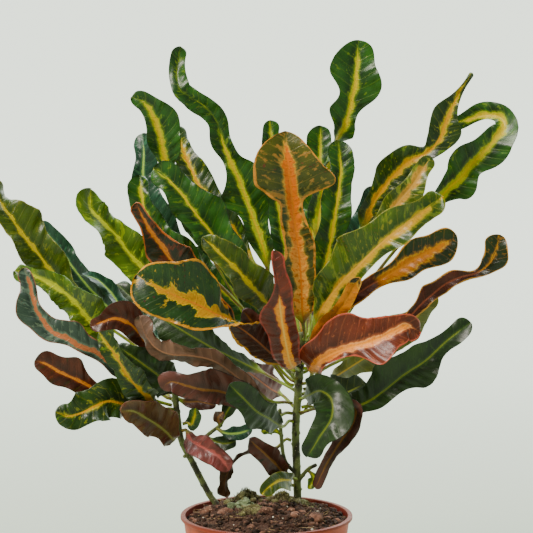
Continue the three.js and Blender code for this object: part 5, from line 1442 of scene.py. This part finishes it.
@dataclass
class Pot:
    """A thin-walled tapered nursery pot with a lip and drainage holes in its floor."""

    height: float = 115.0
    rim_radius: float = 65.0
    base_radius: float = 47.0
    wall: float = 1.4
    floor: float = 1.8
    lip_width: float = 2.2
    lip_height: float = 2.6
    soften: float = 0.7
    sides: int = 144
    holes: int = 6
    hole_radius: float = 4.5
    hole_circle: float = 32.0
    hole_sides: int = 28
    wall_steps: int = 24
    turn_steps: int = 6
    lining_steps: int = 16

    def wall_radius(self, z: float | Array) -> float | Array:
        """Outer radius of the wall at a height, in mm."""
        top = self.rim_radius - self.lip_width
        return self.base_radius + (top - self.base_radius) * z / (self.height - self.lip_height)

    def profile(self) -> list[Pair]:
        """Draw half of the pot's section, from the underside round the lip to the floor.

        Returns:
            Radius and height of each of its points, in mm.
        """
        soft, rim, wall = self.soften, self.rim_radius, self.wall
        top, under, over = rim - self.lip_width, self.height - self.lip_height, self.height - soft
        outer = [(self.wall_radius(z), z) for z in np.linspace(soft, under, self.wall_steps)]
        turns = [(soft * math.sin(a), soft * math.cos(a))
                 for a in np.linspace(0, math.pi / 2, self.turn_steps)]
        lip_turn = [(rim - soft + dx, over + dz) for dx, dz in turns[::-1]]
        inner_turn = [(top - wall + soft - dx, over + dz) for dx, dz in turns]
        lining = [(self.wall_radius(z) - wall, z)
                  for z in np.linspace(under - 1, self.floor, self.lining_steps)]
        return [(self.base_radius - soft, 0), *outer, (rim - soft / 2, under + 0.1),
                (rim, under + soft / 2), *lip_turn, *inner_turn, *lining]

    def note_sides(self, mesh: Mesh) -> None:
        """Note at each point whether it is on the lining, and its height in mm.

        Args:
            mesh: the pot's mesh.
        """
        points = np.array([v.co[:] for v in mesh.vertices]) / MM
        middle = self.wall_radius(points[:, 2]) - self.wall / 2
        inside = (np.hypot(points[:, 0], points[:, 1]) < middle) & (points[:, 2] > self.floor / 2)
        note(mesh, "pot_side", np.stack([inside, points[:, 2], 0 * middle], axis=1))

    def build(self, finish: PotFinish, soil_edge: float) -> Object:
        """Turn the wall, cut the drainage holes and dress the pot.

        Args:
            finish: what its plastic is like.
            soil_edge: height of the soil at the wall, in mm.

        Returns:
            The finished piece.
        """
        turn = round_turn(self.sides)
        rings = [np.stack([r * np.cos(turn), r * np.sin(turn), np.full(self.sides, z)], axis=1)
                 for r, z in self.profile()]
        faces = tube_faces(len(rings), self.sides)
        piece = mesh_object("pot_moulded_wall", np.concatenate(rings), faces,
                            finish.build(self.height, soil_edge))
        self.cut_holes(piece)
        self.note_sides(piece.data)
        piece.data.shade_smooth()
        piece.modifiers.new("soft_edges", "WEIGHTED_NORMAL").keep_sharp = True
        return settle(piece, "pot", "pot")

    def cut_holes(self, piece: Object) -> None:
        """Cut the ring of drainage holes through the floor.

        Args:
            piece: the pot.
        """
        shape = bmesh.new()
        for i in range(self.holes):
            angle = 2 * math.pi * i / self.holes
            spot = Matrix.Translation((self.hole_circle * MM * math.cos(angle),
                                       self.hole_circle * MM * math.sin(angle), 0))
            bmesh.ops.create_cone(
                shape, cap_ends=True, segments=self.hole_sides, radius1=self.hole_radius * MM,
                radius2=self.hole_radius * MM, depth=4 * self.floor * MM, matrix=spot)
        cutter_mesh = bpy.data.meshes.new("drain_cutter")
        shape.to_mesh(cutter_mesh)
        shape.free()
        cutter = linked("drain_cutter", cutter_mesh)
        cut = piece.modifiers.new("drain_holes", "BOOLEAN")
        cut.operation, cut.solver, cut.object = "DIFFERENCE", "EXACT", cutter
        ready = piece.evaluated_get(bpy.context.evaluated_depsgraph_get())
        piece.data = bpy.data.meshes.new_from_object(ready)
        piece.modifiers.clear()
        bpy.data.objects.remove(cutter)


# Soil and what lies on it


@dataclass(frozen=True)
class GroundFinish:
    """A loose natural stuff: to the eye dull and rough, with colours that mix at two sizes.

    grain is the finer size, in mm, and coarser is how many times as large the other one is.
    Each edge is a pair: where its mask starts and where it is full.
    """

    name: str
    base: str
    dark: str
    light: str
    grain: float
    roughness: float = 0.95
    coarser: float = 5
    dark_edge: Pair = (0.42, 0.62)
    light_edge: Pair = (0.56, 0.7)
    relief: float = 0.4

    def build(self) -> Material:
        """Make the material.

        Returns:
            The material.
        """
        nodes = Nodes(self.name)
        put = nodes.put
        place = put(Kind.PLACE)
        fine = put(Kind.NOISE, {"Vector": place, "Scale": pattern_scale(self.grain),
                                "Detail": 5.0})
        coarse = put(Kind.NOISE, {"Vector": place, "Detail": 2.0,
                                  "Scale": pattern_scale(self.grain * self.coarser)})
        colour = nodes.layered(self.base, [
            (put(Kind.SOFT, [coarse, *self.dark_edge]), self.dark),
            (put(Kind.SOFT, [fine, *self.light_edge]), self.light)])
        bump = put(Kind.BUMP, {"Height": fine, "Strength": 0.8,
                               "Distance": self.grain * self.relief * MM})
        return nodes.surface({"Base Color": colour, "Roughness": self.roughness, "Normal": bump,
                              "IOR": 1.4, "Specular IOR Level": 0.3})


PEAT = GroundFinish("peat_compost_loose", "#48322a", "#221712", "#7c6048", 1.6)
BARK = GroundFinish("pine_bark_chipped", "#7c5646", "#4c3228", "#b08c76", 1.4)
PERLITE = GroundFinish("perlite_expanded", "#e2dccd", "#c2b8a4", "#f5f1e6", 0.8, 0.85)
STRAW = GroundFinish("coir_fibre_dry", "#b39468", "#80633f", "#d9bf92", 1.0, 0.8)
MOSS = GroundFinish("moss_living_cushion", "#6c6840", "#4a4028", "#a09a6c", 1.1, 0.8)
PALE_MOSS = GroundFinish("moss_dried_pale", "#74805f", "#4f583c", "#a2ab8a", 1.1, 0.85)


@dataclass
class Soil:
    """A low lumpy mound of peat that fills the pot, with the bits that lie on it.

    Each kind of lump is the size of its noise in mm, where in the noise it is read, and its
    share of the lump height. The shoulder is how far down and in the wall of the mound ends.
    """

    pot: Pot
    edge: float = 109.0
    crown: float = 121.0
    gap: float = 0.3
    lump: float = 2.3
    broad: Triple = (16, 1.7, 0.8)
    lumps: Triple = (6, 5.1, 0.9)
    crumbs: Triple = (2.4, 9.4, 0.45)
    sink: float = 0.2
    rings: int = 84
    sectors: int = 230
    innermost: float = 0.0004
    shoulder: Pair = (3, 0.4)

    def height(self, x: float, y: float) -> float:
        """Height of the smooth mound at a place, in mm."""
        inward = 1 - (x * x + y * y) / self.pot.rim_radius**2
        return self.edge + (self.crown - self.edge) * max(0.0, inward)

    def surface_height(self, x: float, y: float) -> float:
        """Work out the height of the lumpy mound at a place.

        Args:
            x: how far across the place is, in mm.
            y: how far back it is, in mm.

        Returns:
            The height, in mm.
        """
        broad, lumps, crumbs = (noise.noise(Vector((x / size, y / size, level)))
                                for size, level, _ in (self.broad, self.lumps, self.crumbs))
        relief = (self.broad[2] * broad + self.lumps[2] * abs(lumps) + self.crumbs[2] * crumbs
                  - self.sink)
        return self.height(x, y) + self.lump * relief

    def reach(self) -> float:
        """Radius of the mound where it meets the pot's wall, in mm."""
        return self.pot.wall_radius(self.edge) - self.pot.wall - self.gap

    def build(self) -> Object:
        """Make the mound, closed below.

        Returns:
            The finished piece.
        """
        turn = round_turn(self.sectors)
        bottom = self.pot.floor + self.gap
        foot = self.pot.wall_radius(bottom) - self.pot.wall - 2 * self.gap
        down, inward = self.shoulder
        rows = [[(r * math.cos(a), r * math.sin(a), z) for a in turn]
                for z, r in ((bottom, foot), (self.edge - down, self.reach() - inward))]
        for r in self.reach() * np.sqrt(np.linspace(1, self.innermost, self.rings)):
            rows.append([(x, y, self.surface_height(x, y))
                         for x, y in zip(r * np.cos(turn), r * np.sin(turn))])
        piece = mesh_object("soil_peat_mound", np.array(rows).reshape(-1, 3),
                            tube_faces(len(rows), self.sectors), PEAT.build())
        return settle(piece, "soil", "soil")


@dataclass(frozen=True)
class Spot:
    """A place on the soil where a stuff gathers: across, back, spread and rise, in mm."""

    x: float
    y: float
    spread: float
    rise: float = 0.0

    def heap(self, x: float, y: float) -> float:
        """How far the heap rises above the soil at a place, in mm."""
        away = ((x - self.x) ** 2 + (y - self.y) ** 2) / (2 * self.spread**2)
        return self.rise * math.exp(-away)


@dataclass
class Scatter:
    """Bits of one stuff on the soil, fused to one piece: at its spots, or all over without any.

    A bit lies anywhere in its heap, or on top of it where on_top is true. None lies closer to
    the pot's wall than the margin, in mm.
    """

    name: str
    finish: GroundFinish
    count: int
    seed: int
    spots: list[Spot] = field(default_factory=list, kw_only=True)
    on_top: bool = field(default=False, kw_only=True)
    margin: float = field(default=2.0, kw_only=True)

    def places(self, soil: Soil, rng: np.random.Generator) -> list[Array]:
        """Draw the places of the bits.

        Args:
            soil: the mound that they lie on.
            rng: where the random numbers come from.

        Returns:
            The places, in mm.
        """
        reach = soil.reach() - self.margin
        places = []
        while len(places) < self.count:
            if self.spots:
                spot = self.spots[len(places) % len(self.spots)]
                x, y = rng.normal(spot.x, spot.spread), rng.normal(spot.y, spot.spread)
                heap = spot.heap(x, y) * (1.0 if self.on_top else rng.random())
            else:
                heap = 0.0
                r, a = reach * math.sqrt(rng.random()), rng.random() * 2 * math.pi
                x, y = r * math.cos(a), r * math.sin(a)
            if math.hypot(x, y) < reach:
                places.append(np.array((x, y, soil.surface_height(x, y) + heap)))
        return places

    def bit(self, place: Array, rng: np.random.Generator) -> Part:
        """Points in mm and faces of one bit at a place, with its size and turn drawn."""
        raise NotImplementedError

    def build(self, soil: Soil) -> Object:
        """Scatter the bits.

        Args:
            soil: the mound that they lie on.

        Returns:
            The finished piece.
        """
        rng = np.random.default_rng(self.seed)
        parts = [self.bit(place, rng) for place in self.places(soil, rng)]
        return settle(mesh_object(self.name, *joined(parts), self.finish.build()), "soil")


@dataclass
class Litter(Scatter):
    """Small lumps, sunk a little into the soil."""

    size: Pair
    stretch: Triple
    rough: float
    smoothness: int = 1
    tip: float = 0.5
    stand: float = 0.25
    ball: Array = field(init=False, repr=False)
    faces: list = field(init=False, repr=False)

    def __post_init__(self) -> None:
        """Make the round lump that each one is bent from."""
        template = bmesh.new()
        bmesh.ops.create_icosphere(template, subdivisions=self.smoothness, radius=1.0)
        self.ball = np.array([v.co[:] for v in template.verts])
        self.faces = [tuple(v.index for v in f.verts) for f in template.faces]
        template.free()

    def bit(self, place: Array, rng: np.random.Generator) -> Part:
        """Make a knobbly, stretched, turned and tipped lump.

        Args:
            place: where it lies, in mm.
            rng: where the random numbers come from.

        Returns:
            Its points in mm, and its faces.
        """
        size = rng.uniform(*self.size) / 2
        knobs = 1 + self.rough * rng.uniform(-1, 1, len(self.ball))
        shape = self.ball * knobs[:, None] * np.array(self.stretch) * size
        spin = Matrix.Rotation(rng.uniform(0, 2 * math.pi), 3, "Z")
        tip = Matrix.Rotation(rng.uniform(-self.tip, self.tip), 3, "X")
        seat = place + np.array([0, 0, self.stand * size * self.stretch[2]])
        return shape @ np.array(spin @ tip).T + seat, self.faces


@dataclass
class Fibres(Scatter):
    """Thin bent threads, such as dry coir, or standing spikes of moss."""

    length: Pair
    radius: float
    upright: float
    bow: float = 0.25
    leans: Pair = (0.6, 1.0)
    flattest: float = 0.05
    steps: tuple[Pair, ...] = ((0.0, 1.0), (0.35, 1.0), (0.7, 0.75), (1.0, 0.2))

    def bit(self, place: Array, rng: np.random.Generator) -> Part:
        """Make a three-sided thread that tapers to its end.

        Args:
            place: where it starts, in mm.
            rng: where the random numbers come from.

        Returns:
            Its points in mm, and its faces.
        """
        length = rng.uniform(*self.length)
        a = rng.uniform(0, 2 * math.pi)
        flat = np.array([math.cos(a), math.sin(a), 0])
        side = np.array([-math.sin(a), math.cos(a), 0])
        lean = rng.uniform(*self.leans) * self.upright
        ahead = unit(flat * (1 - lean) + np.array([0, 0, max(lean, self.flattest)]))
        up = unit(np.cross(ahead, side))
        bow = rng.uniform(-self.bow, self.bow) * length
        points = []
        for along_it, taper in self.steps:
            at = place + ahead * length * along_it + side * bow * math.sin(math.pi * along_it)
            wide = self.radius * taper
            points += [at + (side * math.cos(c) + up * math.sin(c)) * wide
                       for c in (0, 2 * math.pi / 3, 4 * math.pi / 3)]
        return np.array(points), tube_faces(len(self.steps), 3)


# Studio


@dataclass
class Studio:
    """A plain pale floor that sweeps up all round, glows softly at the back, and soft lights.

    Sizes are in metres. The glow goes from its first strength to its second between the two
    distances behind the pot.
    """

    sides: int = 64
    bend_steps: int = 16
    bend_start: float = 1.4
    bend: float = 2.4
    top: float = 5.0
    floor: str = "#8b9682"
    backdrop: str = "#ebf5e4"
    unlit: str = "#20221f"
    glow: Pair = (0.1, 2.3)
    glow_edge: Pair = (-0.9, 2.4)
    sky: str = "#eef2ec"
    sky_strength: float = 0.4
    aim: Triple = (0, 0, 0.25)

    def light(self, name: str, place: Triple, size: float, power: float, colour: str) -> None:
        """Add one soft square light that looks at the plant's middle.

        Args:
            name: its name.
            place: where it hangs, in metres.
            size: its width, in metres.
            power: its power, in watts.
            colour: its colour.
        """
        data = bpy.data.lights.new(name, "AREA")
        data.size, data.energy, data.color = size, power, linear(colour)[:3]
        lamp = linked(name, data)
        lamp.location = place
        lamp.rotation_euler = (Vector(self.aim) - Vector(place)).to_track_quat("-Z", "Y").to_euler()

    def paper(self) -> Material:
        """Make the matt paper of the floor, which glows more the further back it is.

        Returns:
            The material.
        """
        nodes = Nodes("studio_matt_paper")
        put = nodes.put
        back = put(Kind.SPLIT, [put(Kind.PLACE)]).node.outputs[1]
        far = put(Kind.SOFT, [back, *self.glow_edge])
        return nodes.surface({
            "Base Color": nodes.layered(self.floor, [(far, self.unlit)]), "Roughness": 0.95,
            "Emission Color": self.backdrop,
            "Emission Strength": put(Kind.EVEN, [far, 0.0, 1.0, *self.glow])})

    def build(self) -> None:
        """Make the floor and its backdrop in one sweep, the sky and the lights."""
        curve = [(self.bend_start + self.bend * math.sin(a), self.bend * (1 - math.cos(a)))
                 for a in np.linspace(0, math.pi / 2, self.bend_steps)]
        line = [*curve, (self.bend_start + self.bend, self.top)]
        points = [(r * math.cos(a) / MM, r * math.sin(a) / MM, z / MM)
                  for r, z in line for a in round_turn(self.sides)]
        sweep = tube_faces(len(line), self.sides)[:-2]
        faces = [tuple(range(self.sides))] + [tuple(face)[::-1] for face in sweep]
        mesh_object("studio_sweep", np.array(points), faces, self.paper())
        world = bpy.data.worlds.new("studio_sky")
        world.use_nodes = True
        back = world.node_tree.nodes["Background"]
        back.inputs["Color"].default_value = linear(self.sky)
        back.inputs["Strength"].default_value = self.sky_strength
        bpy.context.scene.world = world
        self.light("key_light", (-1.2, -1.3, 1.9), 0.8, 78.0, "#fff6ea")
        self.light("back_light", (0.8, 1.4, 1.7), 1.8, 48.0, "#f4fbff")
        self.light("top_light", (-0.5, 0.3, 2.0), 0.9, 34.0, "#f8fff8")


def scattered() -> list[Scatter]:
    """Say what lies on the soil.

    Returns:
        Each kind of bits, in the order in which they are made.
    """
    moss = [Spot(26, 24, 6, 2), Spot(12, 22, 5.5, 7), Spot(-16, 20, 6.5, 9), Spot(-12, -14, 5, 2)]
    pale = [Spot(-17, 1, 4, 7)]
    large = [Spot(-32, -9, 3, 1), Spot(-2, -24, 5), Spot(-44, 4, 3), Spot(20, -18, 6)]
    return [
        Litter("soil_peat_crumbs", PEAT, 1000, 11, (1.4, 5.6), (1.0, 1.0, 0.8), 0.28),
        Litter("soil_bark_chips", BARK, 64, 12, (4.0, 11.0), (1.0, 0.6, 0.4), 0.24),
        Litter("soil_bark_pieces", BARK, 9, 18, (9.0, 15.0), (1.0, 0.7, 0.5), 0.2, 2, spots=large),
        Litter("soil_perlite_grains", PERLITE, 34, 13, (1.2, 2.6), (1.0, 1.0, 0.9), 0.15),
        Litter("soil_moss_cushions", MOSS, 130, 14, (3.0, 7.5), (1.0, 1.0, 0.7), 0.25, 2,
               spots=moss),
        Litter("soil_pale_moss", PALE_MOSS, 30, 19, (3.0, 7.0), (1.0, 1.0, 0.8), 0.25, 2,
               spots=pale),
        Fibres("soil_coir_threads", STRAW, 70, 15, (4, 16), 0.28, 0.12, on_top=True),
        Fibres("soil_moss_spikes", MOSS, 1500, 16, (1.2, 3.4), 0.22, 0.8, spots=moss, on_top=True),
    ]


def main() -> None:
    """Build the plant from the pot up."""
    logging.basicConfig(level=logging.INFO, format="%(name)s %(message)s")
    VIEWER.camera()
    Studio().build()
    pot = Pot()
    soil = Soil(pot)
    pot.build(PotFinish(), soil.edge)
    soil.build()
    for bits in scattered():
        bits.build(soil)
    main_stem = Stem(MAIN, 3.1, (24, 30), [(23, 146, 29), (22, 178, 26), (24, 212, 19),
                                           (27, 254, 11)],
                     [Twig([(22, 146, 28), (14, 156, 22), (11, 176, 16), (10, 196, 12)]),
                      Twig([(24, 140, 29), (31, 149, 24), (38, 153, 18)])], soil)
    side_stem = Stem(SIDE, 2.5, (-39, 36), [(-42, 128, 37), (-48, 139, 38), (-56, 155, 36),
                                            (-64, 171, 34), (-67, 190, 31), (-70, 218, 27)],
                     [Twig([(-58, 160, 35), (-63, 159, 32)]),
                      Twig([(-62, 167, 34), (-48, 173, 29), (-40, 179, 24), (-33, 184, 21)])], soil)
    stems = {stem.name: stem for stem in (main_stem, side_stem)}
    for stem in stems.values():
        stem.build(StemFinish())
    for number, leaf in enumerate(LEAVES + SHOOTS):
        leaf.number = number
        leaf.build(stems[leaf.stem])


if __name__ == "__main__":
    main()
